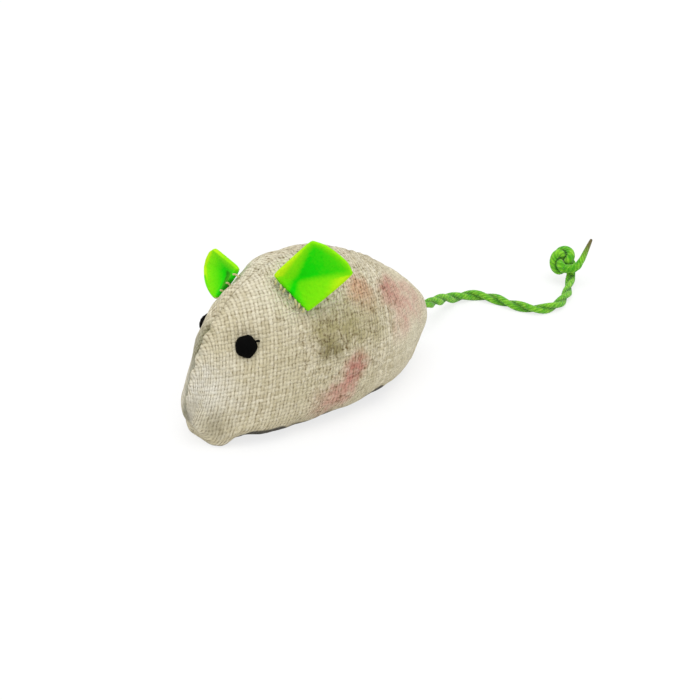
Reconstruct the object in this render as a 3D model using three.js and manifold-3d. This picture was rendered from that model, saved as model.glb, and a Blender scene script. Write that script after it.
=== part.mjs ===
// A catnip mouse: a stuffed cloth body of three sewn panels, with felt ears,
// knotted eyes and a cord tail that ends in an overhand knot.
// Millimetres, +Z up. The nose points to -Y, the tail to +Y, and the base panel stands on z = 0.

import * as THREE from 'three';
import { mergeVertices } from 'three/addons/utils/BufferGeometryUtils.js';
import Module from 'manifold-3d';

const wasm = await Module();
wasm.setup();

// Driving dimensions of the body
const BODY_LENGTH = 85;
const BODY_WIDTH = 45;
const BODY_HEIGHT = 46;
const NOSE_HEIGHT = 6;
const TAIL_HEIGHT = 14;
const CHIN_RISE = 8;
const HEEL_RISE = 18;

// How the body swells and tapers: powers of the distance from the nose and from the rump
const WIDTH_NOSE_POWER = 0.63;
const WIDTH_RUMP_POWER = 0.42;
const CROWN_NOSE_POWER = 0.49;
const CROWN_RUMP_POWER = 0.65;

// How round each cross-section is, and how far the belly curves in under the flank
const CROWN_ROUNDNESS = 1.87;
const BELLY_ROUNDNESS = 2.16;
const BELLY_TUCK = 1.18;

// The hem arches up from the floor behind the chin: distance from the nose, reach and rise
const THROAT = { station: 11, reach: 5, rise: 2 };

// Where the stuffing swells the cloth out, or leaves it slack: distance from the nose,
// angle down from the crown in degrees, how far it reaches and how far it pushes.
// The swells of the hind end keep their distance from the rump.
const STUFFING_SWELLS = [
  { station: 5.7, angle: 43, reach: 7, push: -1 },
  { station: 13.2, angle: 31, reach: 6.5, push: -0.8 },
  { station: 2.4, angle: 75, reach: 4, push: 0.7 },
  { station: BODY_LENGTH - 10.9, angle: 110, reach: 8, push: -1.8 },
  { station: BODY_LENGTH - 4.1, angle: 67, reach: 6, push: 0.8 },
  { station: BODY_LENGTH - 8.1, angle: 24, reach: 8, push: 0.9 },
];
// The seams hold the cloth to its plain form up to about this distance
const SEAM_HOLD = 3;

// Cloth, thread and the gap that neighbours keep
const CLOTH = 1.2;
const SEAM_THREAD = 0.8;
const CLEARANCE = 0.3;
const BASE_TIP_HALF_WIDTH = 0.5;

// Ears: a felt flap, sewn along a straight base
const FELT = 1.5;
const EAR_BASE = 12;
const EAR_CUP = 4;
const EAR_CORNER_ROUNDING = 1.6;
const EAR_THREAD = 0.8;
const EAR_STITCHES = 3;
const EAR_STITCH_DEPTH = 1.4;

// Where each ear sits: distance from the nose, angle down from the crown, turn and lean in degrees.
// Each is hand-cut: its height, the width of its top edge, and how far that edge sits off the middle.
const LEFT_EAR = { side: 1, station: 29, angle: 31, turn: 20, lean: 50, height: 15.6, top: 14, skew: 1.2 };
const RIGHT_EAR = { side: -1, station: 20.6, angle: 27, turn: -13, lean: 46, height: 12.5, top: 7, skew: 2 };

// Eyes: a thread knot with a stem through the cloth and a stop knot behind it
const EYE_DIAMETER = 6.6;
const EYE_RISE = 2;
const EYE_STEM_DIAMETER = 1.6;
const EYE_STOP_DIAMETER = 3.4;
const EYE_STOP_THICKNESS = 1.2;
const LEFT_EYE = { side: 1, station: 13.8, angle: 44 };
const RIGHT_EYE = { side: -1, station: 15.7, angle: 48 };

// Stuffing and the herb sachet inside it
const STUFFING_SPLIT = 4;
const POUCH_LENGTH = 34;
const POUCH_HEIGHT = 22;
const POUCH_THICKNESS = 14;
const POUCH_CENTRE_HEIGHT = 20;
const POUCH_CLOTH = 0.8;
const POUCH_SEAM_SHARE = 0.12;
const HERB_SHARE = 0.65;

// Tail cord, and the knot that holds it inside the rump
const CORD_DIAMETER = 3;
const ANCHOR_DIAMETER = 7;
const FLOOR_GAP = 0.1;
const CORD_REST = CORD_DIAMETER / 2 + FLOOR_GAP;

// The tail's route: across the body, back from the rump, and up from the floor
const TAIL_ROUTE = [
  [0, 5.4, 13.6],
  [0, 7.6, 11.7],
  [0.1, 9.8, 9.9],
  [-0.2, 12.4, 8.6],
  [-2, 17.2, 6.8],
  [-3.9, 22.9, 5],
  [-5, 28.2, 3.1],
  [-4.9, 32.8, 1.9],
  [-3.6, 36.6, CORD_REST],
  [-0.6, 39, CORD_REST],
  [3.6, 40.4, CORD_REST],
  [8.6, 41.2, CORD_REST],
  [13.2, 42.2, CORD_REST],
  [17.2, 44, CORD_REST],
  [19.8, 46.8, CORD_REST],
  [20.8, 50.6, CORD_REST],
  [20.2, 55, CORD_REST],
  [18.5, 59.4, CORD_REST],
  [16.2, 63.6, CORD_REST],
];

// The overhand knot at the tail's end: a trefoil, opened where the cord comes in and its tip goes out.
// It is rolled in its own plane, tilted up from the floor and turned about the vertical, in degrees.
const KNOT_ACROSS = 8.6;
const KNOT_BACK = 69.4;
const KNOT_ROLL = -45;
const KNOT_TILT = 40;
const KNOT_TURN = 45;
const KNOT_CORD_DIAMETER = 1.9;
const KNOT_GAP = 0.6;
const KNOT_LOBE = 1.2;
const KNOT_OPENING = 0.35;
const KNOT_LEAD = 4.6;
const TIP_START = 4.5;
const TIP_LENGTH = 9.5;
const TIP_RISE = 3;
const TIP_BEND = 55;

// How finely round things are cut
const STATIONS = 24;
const SIDE_STEPS = 12;
const BASE_STEPS = 4;
const EAR_STEPS = 8;
const POUCH_STEPS = 8;
const THREAD_SIDES = 6;
const THREAD_STEPS = 40;
const CORD_SIDES = 8;
const CORD_STEPS = 36;
const KNOT_STEPS = 60;
const LATHE_SIDES = 12;
const DOME_STEPS = 4;

const SEAM_GAP = SEAM_THREAD + 2 * CLEARANCE;
const TAIL_STANDOFF = CORD_DIAMETER / 2 + SEAM_GAP;
const PARTING = SEAM_GAP / 2;
const RUMP = BODY_LENGTH / 2;
const HALF_WIDTH = BODY_WIDTH / 2;
const BASE_EDGE_ANGLE = Math.PI - Math.acos(BELLY_TUCK ** (-BELLY_ROUNDNESS / 2));

const cloth = new THREE.MeshStandardMaterial({ color: 0xcabfa3, roughness: 0.95 });
const thread = new THREE.MeshStandardMaterial({ color: 0xaea48a, roughness: 0.9 });
const felt = new THREE.MeshStandardMaterial({ color: 0x58d40a, roughness: 1 });
const earThread = new THREE.MeshStandardMaterial({ color: 0xc0d878, roughness: 0.9 });
const eyeThread = new THREE.MeshStandardMaterial({ color: 0x0d0c0c, roughness: 0.8 });
const cord = new THREE.MeshStandardMaterial({ color: 0x6fae38, roughness: 0.85 });
const fibre = new THREE.MeshStandardMaterial({ color: 0xf0ede4, roughness: 1 });
const muslin = new THREE.MeshStandardMaterial({ color: 0xe4dac0, roughness: 0.95 });
const herb = new THREE.MeshStandardMaterial({ color: 0x6f7b40, roughness: 1 });

const mouse = new THREE.Group();

function addPiece(name, geometry, material) {
  const mesh = new THREE.Mesh(geometry, material);
  mesh.name = name;
  mouse.add(mesh);
}

// Shapes as solids, for joining and cutting
function weld(geometry) {
  const bare = geometry.clone();
  bare.deleteAttribute('normal');
  bare.deleteAttribute('uv');
  return mergeVertices(bare, 1e-4);
}

function toSolid(geometry) {
  const welded = weld(geometry);
  const vertProperties = Float32Array.from(welded.attributes.position.array);
  const triVerts = Uint32Array.from(welded.index.array);
  return new wasm.Manifold(new wasm.Mesh({ numProp: 3, vertProperties, triVerts }));
}

function toGeometry(solid) {
  const mesh = solid.getMesh();
  const geometry = new THREE.BufferGeometry();
  geometry.setAttribute('position', new THREE.BufferAttribute(mesh.vertProperties, 3));
  geometry.setIndex(new THREE.BufferAttribute(mesh.triVerts, 1));
  return geometry;
}

function cut(geometry, ...tools) {
  const start = toSolid(geometry);
  return toGeometry(tools.reduce((solid, tool) => solid.subtract(toSolid(tool)), start));
}

function join(...geometries) {
  const solids = geometries.map(toSolid);
  return toGeometry(solids.reduce((whole, solid) => whole.add(solid)));
}

function signedVolume(points, triangles) {
  let total = 0;
  for (const [a, b, c] of triangles) {
    total += points[a].dot(new THREE.Vector3().crossVectors(points[b], points[c]));
  }
  return total;
}

// The closed solid between two sheets of points, whose edges are joined all round.
// Sheets that meet at a pole or along an edge close there.
function solidBetween(front, back, rows, columns) {
  const points = [];
  for (const sheet of [front, back]) {
    for (let i = 0; i <= rows; i += 1) {
      for (let j = 0; j <= columns; j += 1) {
        points.push(sheet(i / rows, j / columns));
      }
    }
  }
  const behind = (rows + 1) * (columns + 1);
  const f = (i, j) => i * (columns + 1) + j;
  const b = (i, j) => behind + f(i, j);
  const quads = [];
  for (let i = 0; i < rows; i += 1) {
    for (let j = 0; j < columns; j += 1) {
      quads.push([f(i, j), f(i + 1, j), f(i + 1, j + 1), f(i, j + 1)]);
      quads.push([b(i, j), b(i, j + 1), b(i + 1, j + 1), b(i + 1, j)]);
    }
  }
  for (let i = 0; i < rows; i += 1) {
    quads.push([f(i + 1, 0), f(i, 0), b(i, 0), b(i + 1, 0)]);
    quads.push([f(i, columns), f(i + 1, columns), b(i + 1, columns), b(i, columns)]);
  }
  for (let j = 0; j < columns; j += 1) {
    quads.push([f(0, j), f(0, j + 1), b(0, j + 1), b(0, j)]);
    quads.push([f(rows, j + 1), f(rows, j), b(rows, j), b(rows, j + 1)]);
  }
  const triangles = quads.flatMap(([p, q, r, s]) => [[p, q, r], [p, r, s]]);
  const outward = signedVolume(points, triangles) > 0;
  const order = outward ? triangles : triangles.map(([p, q, r]) => [p, r, q]);
  const sheetPair = new THREE.BufferGeometry().setFromPoints(points);
  sheetPair.setIndex(order.flat());
  return withoutSlivers(mergeVertices(sheetPair, 1e-4));
}

function withoutSlivers(geometry) {
  const index = geometry.index.array;
  const kept = [];
  for (let k = 0; k < index.length; k += 3) {
    const [a, b, c] = [index[k], index[k + 1], index[k + 2]];
    if (a !== b && b !== c && a !== c) {
      kept.push(a, b, c);
    }
  }
  geometry.setIndex(kept);
  return geometry;
}

function tube(points, diameter, sides, steps) {
  const outline = new THREE.Shape();
  for (let k = 0; k < sides; k += 1) {
    const angle = (2 * Math.PI * k) / sides;
    const x = (diameter / 2) * Math.cos(angle);
    const y = (diameter / 2) * Math.sin(angle);
    if (k === 0) {
      outline.moveTo(x, y);
    } else {
      outline.lineTo(x, y);
    }
  }
  const extrudePath = new THREE.CatmullRomCurve3(points, false, 'centripetal');
  return new THREE.ExtrudeGeometry(outline, { steps, extrudePath, bevelEnabled: false });
}

// A turned shape whose axis runs from a point along a direction
function lathe(profile, origin, direction, sides = LATHE_SIDES) {
  const outline = profile.map(([radius, along]) => new THREE.Vector2(radius, along));
  const shape = weld(new THREE.LatheGeometry(outline, sides));
  const turn = new THREE.Quaternion().setFromUnitVectors(new THREE.Vector3(0, 1, 0), direction);
  return withoutSlivers(shape).applyQuaternion(turn).translate(origin.x, origin.y, origin.z);
}

function rod(from, direction, length, diameter) {
  const radius = diameter / 2;
  const profile = [[0, 0], [radius, 0], [radius, length], [0, length]];
  return lathe(profile, from, direction, THREAD_SIDES);
}

// The body's form
function swell(t, nosePower, rumpPower) {
  const peak = nosePower / (nosePower + rumpPower);
  return (t / peak) ** nosePower * ((1 - t) / (1 - peak)) ** rumpPower;
}

// 1 where the base lies flat, falling to 0 at the nose and at the rump
function footing(t) {
  const fromNose = (t * BODY_LENGTH) / CHIN_RISE;
  const fromRump = ((1 - t) * BODY_LENGTH) / HEEL_RISE;
  const share = Math.min(1, fromNose, fromRump);
  return Math.sqrt(1 - (1 - share) ** 2);
}

function throatRise(t) {
  const away = (t * BODY_LENGTH - THROAT.station) / THROAT.reach;
  return THROAT.rise * footing(t) * Math.exp(-(away ** 2));
}

// The cross-section at a share t of the length, with the skin moved in by inset
function section(t, inset) {
  const waist = NOSE_HEIGHT + (TAIL_HEIGHT - NOSE_HEIGHT) * t;
  const rise = (BODY_HEIGHT - inset - waist) * swell(t, CROWN_NOSE_POWER, CROWN_RUMP_POWER);
  return {
    y: -RUMP + inset + (BODY_LENGTH - 2 * inset) * t,
    waist,
    halfWidth: (HALF_WIDTH - inset) * swell(t, WIDTH_NOSE_POWER, WIDTH_RUMP_POWER),
    crown: waist + rise,
    base: inset + (waist - inset) * (1 - footing(t)) + throatRise(t),
  };
}

// A point of the plain form at an angle down from the crown. The two sides keep a parting between them.
function formPoint(t, angle, inset, side, parting) {
  const { y, waist, halfWidth, crown, base } = section(t, inset);
  const upper = angle <= Math.PI / 2;
  const power = 2 / (upper ? CROWN_ROUNDNESS : BELLY_ROUNDNESS);
  const out = Math.sin(angle) ** power;
  const up = Math.abs(Math.cos(angle)) ** power;
  const reach = halfWidth * (1 - parting / (HALF_WIDTH - inset));
  const z = upper ? waist + (crown - waist) * up : waist - BELLY_TUCK * (waist - base) * up;
  return new THREE.Vector3(side * (parting + reach * out), y, z);
}

// The ways along the body, down the flank and outward, on a surface given by share of length and angle
function waysOn(surface, t, angle, side) {
  const step = 1e-4;
  const down = surface(t, angle + step).sub(surface(t, angle - step)).normalize();
  const along = surface(t + step, angle).sub(surface(t - step, angle)).normalize();
  const normal = new THREE.Vector3().crossVectors(along, down).multiplyScalar(-side).normalize();
  return { along, down, normal };
}

// How far the stuffing pushes the cloth out at a place
function stuffingPush(t, angle, side) {
  const form = (share, at) => formPoint(share, at, 0, side, PARTING);
  const place = form(t, angle);
  const freed = (seam) => 1 - Math.exp(-((place.distanceTo(form(t, seam)) / SEAM_HOLD) ** 2));
  let push = 0;
  for (const swelling of STUFFING_SWELLS) {
    const centre = form(swelling.station / BODY_LENGTH, THREE.MathUtils.degToRad(swelling.angle));
    push += swelling.push * Math.exp(-((place.distanceTo(centre) / swelling.reach) ** 2));
  }
  return push * freed(0) * freed(BASE_EDGE_ANGLE);
}

// A point of the stuffed skin
function skinPoint(t, angle, inset, side, parting) {
  const point = formPoint(t, angle, inset, side, parting);
  const push = stuffingPush(t, angle, side);
  if (Math.abs(push) < 1e-6) {
    return point;
  }
  const form = (share, at) => formPoint(share, at, 0, side, PARTING);
  return point.addScaledVector(waysOn(form, t, angle, side).normal, push);
}

// Stations close up towards the nose and the rump, where the form curves most
function station(share, from = 0, to = 1) {
  return from + (to - from) * (1 - Math.cos(Math.PI * share)) / 2;
}

function findStation(value, target, low, high) {
  let [inside, outside] = [low, high];
  for (let k = 0; k < 60; k += 1) {
    const middle = (inside + outside) / 2;
    if (value(middle) > target) {
      inside = middle;
    } else {
      outside = middle;
    }
  }
  return inside;
}

function sidePanel(side) {
  const sheet = (inset) => (along, down) => (
    skinPoint(station(along), down * BASE_EDGE_ANGLE, inset, side, PARTING)
  );
  return solidBetween(sheet(0), sheet(CLOTH), STATIONS, SIDE_STEPS);
}

// The base panel lies between the side panels' lower edges, a seam's width in from each
function baseHalfWidth(t) {
  return skinPoint(t, BASE_EDGE_ANGLE, CLOTH, 1, PARTING).x - SEAM_GAP;
}

const WIDEST = WIDTH_NOSE_POWER / (WIDTH_NOSE_POWER + WIDTH_RUMP_POWER);
const BASE_FRONT = findStation(baseHalfWidth, BASE_TIP_HALF_WIDTH, WIDEST, 0);
const BASE_REAR = findStation(baseHalfWidth, BASE_TIP_HALF_WIDTH, WIDEST, 1);

function basePanel() {
  const sheet = (inset) => (along, across) => {
    const t = station(along, BASE_FRONT, BASE_REAR);
    const { y, base } = section(t, inset);
    return new THREE.Vector3((2 * across - 1) * baseHalfWidth(t), y, base);
  };
  return solidBetween(sheet(0), sheet(CLOTH), STATIONS, BASE_STEPS);
}

// Threads run halfway through the cloth, in the gaps that the panels leave
function baseSeamThread(side) {
  const seamRump = findStation((t) => TAIL_HEIGHT - section(t, 0).base, TAIL_STANDOFF, WIDEST, 1);
  const points = [];
  for (let k = 0; k <= THREAD_STEPS; k += 1) {
    const t = station(k / THREAD_STEPS, BASE_FRONT, seamRump);
    const { y, base } = section(t, CLOTH / 2);
    points.push(new THREE.Vector3(side * (baseHalfWidth(t) + SEAM_GAP / 2), y, base));
  }
  return tube(points, SEAM_THREAD, THREAD_SIDES, THREAD_STEPS);
}

function crownSeamThread() {
  const seamRump = findStation((t) => section(t, 0).crown - TAIL_HEIGHT, TAIL_STANDOFF, WIDEST, 1);
  const points = [];
  for (let k = 0; k <= THREAD_STEPS; k += 1) {
    const { y, crown } = section(station(k / THREAD_STEPS, 0, seamRump), CLOTH / 2);
    points.push(new THREE.Vector3(0, y, crown));
  }
  return tube(points, SEAM_THREAD, THREAD_SIDES, THREAD_STEPS);
}

// A place on a side panel: its point, outward normal, and the ways down the flank and back
function placeOnSkin({ side, station: fromNose, angle }) {
  const t = fromNose / BODY_LENGTH;
  const radians = THREE.MathUtils.degToRad(angle);
  const skin = (share, at) => skinPoint(share, at, 0, side, PARTING);
  const point = skin(t, radians);
  const { down, normal } = waysOn(skin, t, radians, side);
  const back = new THREE.Vector3().crossVectors(normal, down).multiplyScalar(side);
  back.multiplyScalar(Math.sign(back.y));
  return { point, normal, down, back };
}

// An ear's frame: the sewn base line, the way up the flap and the way that its hollow faces
function earFrame(ear) {
  const { point, normal, down, back } = placeOnSkin(ear);
  const turn = THREE.MathUtils.degToRad(ear.turn);
  const lean = THREE.MathUtils.degToRad(ear.lean);
  const alongBase = down.clone().multiplyScalar(Math.cos(turn)).addScaledVector(back, Math.sin(turn));
  const away = back.clone().multiplyScalar(Math.cos(turn)).addScaledVector(down, -Math.sin(turn));
  const up = normal.clone().multiplyScalar(Math.cos(lean)).addScaledVector(away, Math.sin(lean));
  const facing = new THREE.Vector3().crossVectors(alongBase, up).multiplyScalar(ear.side);
  const hinge = point.clone().addScaledVector(normal, CLEARANCE + EAR_THREAD / 2);
  return { normal, alongBase, up, facing, hinge };
}

function earFlap(ear) {
  const { alongBase, up, facing, hinge } = earFrame(ear);
  const foot = EAR_THREAD / 2 + CLEARANCE;
  const sheet = (offset) => (rise, across) => {
    const spread = 2 * across - 1;
    const width = EAR_BASE + (ear.top - EAR_BASE) * rise;
    const corner = EAR_CORNER_ROUNDING * spread ** 4;
    const hollow = EAR_CUP * (1 - spread ** 2) * (1 - (1 - rise) ** 2);
    return hinge.clone()
      .addScaledVector(alongBase, (spread * width) / 2 + ear.skew * rise)
      .addScaledVector(up, foot + rise * (ear.height - corner))
      .addScaledVector(facing, offset - hollow);
  };
  return solidBetween(sheet(FELT / 2), sheet(-FELT / 2), EAR_STEPS, EAR_STEPS);
}

// One thread along the ear's base, with stitches that go down into the cloth
function earStitchPlaces(ear) {
  const { alongBase, hinge } = earFrame(ear);
  const places = [];
  for (let k = 0; k < EAR_STITCHES; k += 1) {
    const share = k / (EAR_STITCHES - 1) - 0.5;
    places.push(hinge.clone().addScaledVector(alongBase, share * (EAR_BASE - 2 * EAR_THREAD)));
  }
  return places;
}

function earStitches(ear, grow) {
  const { normal, alongBase, hinge } = earFrame(ear);
  const start = hinge.clone().addScaledVector(alongBase, -EAR_BASE / 2);
  const inward = normal.clone().negate();
  const diameter = EAR_THREAD + 2 * grow;
  const depth = CLEARANCE + EAR_THREAD / 2 + EAR_STITCH_DEPTH + 2 * grow;
  const legs = earStitchPlaces(ear).map((place) => rod(place, inward, depth, diameter));
  return join(rod(start, alongBase, EAR_BASE, diameter), ...legs);
}

// The eye's outline from its outer dome to its stop knot, as radius and height above the cloth
function eyeProfile(grow) {
  const dome = [];
  const radius = EYE_DIAMETER / 2;
  for (let k = 0; k <= DOME_STEPS; k += 1) {
    const angle = (k / DOME_STEPS) * (Math.PI / 2);
    dome.push([radius * Math.cos(angle), CLEARANCE + EYE_RISE * Math.sin(angle)]);
  }
  const stem = EYE_STEM_DIAMETER / 2 + grow;
  const stop = EYE_STOP_DIAMETER / 2 + grow;
  const inside = -CLOTH - CLEARANCE + grow;
  const end = -CLOTH - CLEARANCE - EYE_STOP_THICKNESS - grow;
  dome[DOME_STEPS][0] = 0;
  return [[0, end], [stop, end], [stop, inside], [stem, inside], [stem, CLEARANCE], ...dome];
}

function eye(place, grow) {
  const { point, normal } = placeOnSkin(place);
  return lathe(eyeProfile(grow), point, normal);
}

// The tail's knot inside the rump, and the cord from there to the outside of the cloth
function tailAnchor(grow) {
  const radius = ANCHOR_DIAMETER / 2 + grow;
  const neck = CORD_DIAMETER / 2 + grow;
  const centre = -CLOTH - CLEARANCE - ANCHOR_DIAMETER / 2;
  const start = Math.asin(neck / radius);
  const ball = [];
  for (let k = 0; k <= 2 * DOME_STEPS; k += 1) {
    const angle = Math.PI + (start - Math.PI) * (k / (2 * DOME_STEPS));
    ball.push([radius * Math.sin(angle), centre + radius * Math.cos(angle)]);
  }
  ball[0][0] = 0;
  const end = grow > 0 ? CORD_DIAMETER : 0;
  const exit = new THREE.Vector3(0, RUMP, TAIL_HEIGHT);
  return lathe([...ball, [neck, end], [0, end]], exit, new THREE.Vector3(0, 1, 0));
}

// Everything that goes through the skin
const leftEyeHole = eye(LEFT_EYE, CLEARANCE);
const rightEyeHole = eye(RIGHT_EYE, CLEARANCE);
const tailHole = tailAnchor(CLEARANCE);
const leftEarHoles = earStitches(LEFT_EAR, CLEARANCE);
const rightEarHoles = earStitches(RIGHT_EAR, CLEARANCE);

addPiece('left_side_panel', cut(sidePanel(1), leftEyeHole, leftEarHoles, tailHole), cloth);
addPiece('right_side_panel', cut(sidePanel(-1), rightEyeHole, rightEarHoles, tailHole), cloth);
addPiece('base_panel', cut(basePanel(), tailHole), cloth);
addPiece('crown_seam_thread', crownSeamThread(), thread);
addPiece('left_base_seam_thread', baseSeamThread(1), thread);
addPiece('right_base_seam_thread', baseSeamThread(-1), thread);
addPiece('left_ear', earFlap(LEFT_EAR), felt);
addPiece('right_ear', earFlap(RIGHT_EAR), felt);
addPiece('left_ear_stitches', earStitches(LEFT_EAR, 0), earThread);
addPiece('right_ear_stitches', earStitches(RIGHT_EAR, 0), earThread);
addPiece('left_eye', eye(LEFT_EYE, 0), eyeThread);
addPiece('right_eye', eye(RIGHT_EYE, 0), eyeThread);

// The sachet: two cloth halves that bulge apart from a flat seam
function pouchBulge(u, v) {
  return (1 - u ** 2) * (1 - v ** 2);
}

function pouchPoint(x, u, v, grow) {
  const y = STUFFING_SPLIT + u * (POUCH_LENGTH / 2 + grow);
  return new THREE.Vector3(x, y, POUCH_CENTRE_HEIGHT + v * (POUCH_HEIGHT / 2 + grow));
}

function pouchOuter(u, v) {
  return POUCH_CLOTH + (POUCH_THICKNESS / 2 - POUCH_CLOTH) * pouchBulge(u, v);
}

function pouchInner(u, v) {
  const seam = CLEARANCE / 2;
  const open = Math.max(0, (pouchBulge(u, v) - POUCH_SEAM_SHARE) / (1 - POUCH_SEAM_SHARE));
  return seam + (POUCH_THICKNESS / 2 - POUCH_CLOTH - seam) * open;
}

// A pillow between two sheets, each a distance across from the body's middle plane
function pillow(outer, inner, share, grow) {
  const sheet = (distance) => (a, b) => {
    const u = share * (2 * a - 1);
    const v = share * (2 * b - 1);
    return pouchPoint(distance(u, v), u, v, grow);
  };
  return solidBetween(sheet(outer), sheet(inner), POUCH_STEPS, POUCH_STEPS);
}

function pouchHalf(side) {
  return pillow((u, v) => side * pouchOuter(u, v), (u, v) => side * pouchInner(u, v), 1, 0);
}

function pouchSpace() {
  const half = (u, v) => pouchOuter(u, v) + CLEARANCE;
  return pillow(half, (u, v) => -half(u, v), 1, CLEARANCE);
}

function herbFill() {
  const half = (u, v) => pouchInner(u, v) - 2 * CLEARANCE;
  return pillow(half, (u, v) => -half(u, v), HERB_SHARE, 0);
}

addPiece('catnip_pouch_left', pouchHalf(1), muslin);
addPiece('catnip_pouch_right', pouchHalf(-1), muslin);
addPiece('dried_catnip', herbFill(), herb);

// The stuffing fills the skin, in two wads that close round the sachet.
// It takes every second point down the skin's flanks, so it lies inside them.
function stuffing() {
  const inset = CLOTH + CLEARANCE;
  const sheet = (side) => (along, down) => (
    skinPoint(station(along), down * BASE_EDGE_ANGLE, inset, side, 0)
  );
  return solidBetween(sheet(1), sheet(-1), STATIONS, SIDE_STEPS / 2);
}

function halfSpace(side) {
  const size = 2 * (BODY_LENGTH + BODY_WIDTH + BODY_HEIGHT);
  const box = new THREE.BoxGeometry(size, size, size);
  return box.translate(0, STUFFING_SPLIT + side * (size / 2 - CLEARANCE / 2), 0);
}

const inSkin = [leftEyeHole, rightEyeHole, tailHole, leftEarHoles, rightEarHoles, pouchSpace()];
addPiece('nose_stuffing', cut(stuffing(), ...inSkin, halfSpace(1)), fibre);
addPiece('rump_stuffing', cut(stuffing(), ...inSkin, halfSpace(-1)), fibre);

// The tail, from the knot in the rump to the knot at its end
const PIVOT_BACK = CLEARANCE + CORD_DIAMETER / 2;
const CORD_START_BACK = PIVOT_BACK + CORD_DIAMETER / 2 + CLEARANCE;

function behindRump([across, back, up]) {
  return new THREE.Vector3(across, RUMP + back, up);
}

function tailRoot() {
  const ball = new THREE.SphereGeometry(CORD_DIAMETER / 2, LATHE_SIDES, 2 * DOME_STEPS);
  const pivot = behindRump([0, PIVOT_BACK, TAIL_HEIGHT]);
  return withoutSlivers(weld(ball)).translate(pivot.x, pivot.y, pivot.z);
}

// The knot's strands keep their gap in the middle, where three pass each other, and where they cross
const KNOT_STRAND_PITCH = KNOT_CORD_DIAMETER + KNOT_GAP;
const KNOT_RADIUS = KNOT_STRAND_PITCH / Math.sqrt(3) + KNOT_LOBE;
const KNOT_RISE = (KNOT_STRAND_PITCH + KNOT_GAP / 2) / 2;

function trefoil(s) {
  const radius = KNOT_RADIUS + KNOT_LOBE * Math.cos(3 * s);
  const height = -KNOT_RISE * Math.sin(3 * s);
  return new THREE.Vector3(radius * Math.cos(2 * s), radius * Math.sin(2 * s), height);
}

// The cord comes in low, goes round the trefoil and leaves high, as a free tip
function knotPoints() {
  const from = KNOT_OPENING;
  const to = 2 * Math.PI - KNOT_OPENING;
  const points = [];
  for (let k = 0; k <= KNOT_STEPS / 2; k += 1) {
    points.push(trefoil(from + (to - from) * (k / (KNOT_STEPS / 2))));
  }
  const inward = new THREE.Vector3(-Math.sin(2 * from), Math.cos(2 * from), 0);
  points.unshift(points[0].clone().addScaledVector(inward, -KNOT_LEAD / 2));
  points.unshift(points[0].clone().addScaledVector(inward, -KNOT_LEAD / 2));
  const aside = new THREE.Vector3(1, 0, 0);
  const vertical = new THREE.Vector3(0, 0, 1);
  const outward = new THREE.Vector3(Math.sin(2 * from), Math.cos(2 * from), 0);
  const last = points[points.length - 1];
  const rise = new THREE.Vector3(0, 0, TIP_RISE / 2);
  const bend = last.clone().addScaledVector(outward, TIP_START).add(rise);
  outward.applyAxisAngle(vertical, THREE.MathUtils.degToRad(TIP_BEND));
  points.push(bend, bend.clone().addScaledVector(outward, TIP_LENGTH).add(rise));
  for (const point of points) {
    point.applyAxisAngle(vertical, THREE.MathUtils.degToRad(KNOT_ROLL));
    point.applyAxisAngle(aside, THREE.MathUtils.degToRad(KNOT_TILT));
    point.applyAxisAngle(vertical, THREE.MathUtils.degToRad(KNOT_TURN));
  }
  const centre = behindRump([KNOT_ACROSS, KNOT_BACK, CORD_REST + CORD_DIAMETER / 2 - points[0].z]);
  return points.map((point) => point.add(centre));
}

// The least gap between stretches of a cord that are more than two diameters apart along it
function leastGap(points, diameter) {
  const route = new THREE.CatmullRomCurve3(points, false, 'centripetal');
  const samples = route.getSpacedPoints(10 * points.length);
  const apart = Math.ceil((2.2 * diameter * samples.length) / route.getLength());
  let least = Infinity;
  for (let i = 0; i < samples.length; i += 1) {
    for (let j = i + apart; j < samples.length; j += 1) {
      least = Math.min(least, samples[i].distanceTo(samples[j]) - diameter);
    }
  }
  return least;
}

const knotRoute = knotPoints();
console.log('tail_knot least gap to itself', leastGap(knotRoute, KNOT_CORD_DIAMETER).toFixed(2), 'mm');
const intoKnot = new THREE.Vector3().subVectors(knotRoute[1], knotRoute[0]).normalize();
const cordEnd = knotRoute[0].clone().addScaledVector(intoKnot, -CLEARANCE);
const cordRoute = [
  behindRump([0, CORD_START_BACK, TAIL_HEIGHT]),
  ...TAIL_ROUTE.map(behindRump),
  cordEnd.clone().addScaledVector(intoKnot, -CORD_DIAMETER / 2),
  cordEnd,
];

addPiece('tail_anchor_knot', tailAnchor(0), cord);
addPiece('tail_root', tailRoot(), cord);
addPiece('tail_cord', tube(cordRoute, CORD_DIAMETER, CORD_SIDES, CORD_STEPS), cord);
addPiece('tail_knot', tube(knotRoute, KNOT_CORD_DIAMETER, CORD_SIDES, KNOT_STEPS), cord);

export default mouse;
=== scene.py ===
# %% [markdown]
# # Dressing a catnip mouse
#
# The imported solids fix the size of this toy, the place of every piece and how the ears and the tail move.
# This lesson puts the looks round them: woven cloth over stuffing, felt ears, thread knots and a twisted cord.
# Every piece is made in the frame's own coordinates, so nothing has to be fitted afterwards.

# %% Load the frame
from math import acos, atan2, cos, exp, pi, radians, sin, sqrt, tau

import bmesh
import bpy
import numpy as np
from mathutils import Matrix, Vector, noise


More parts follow.
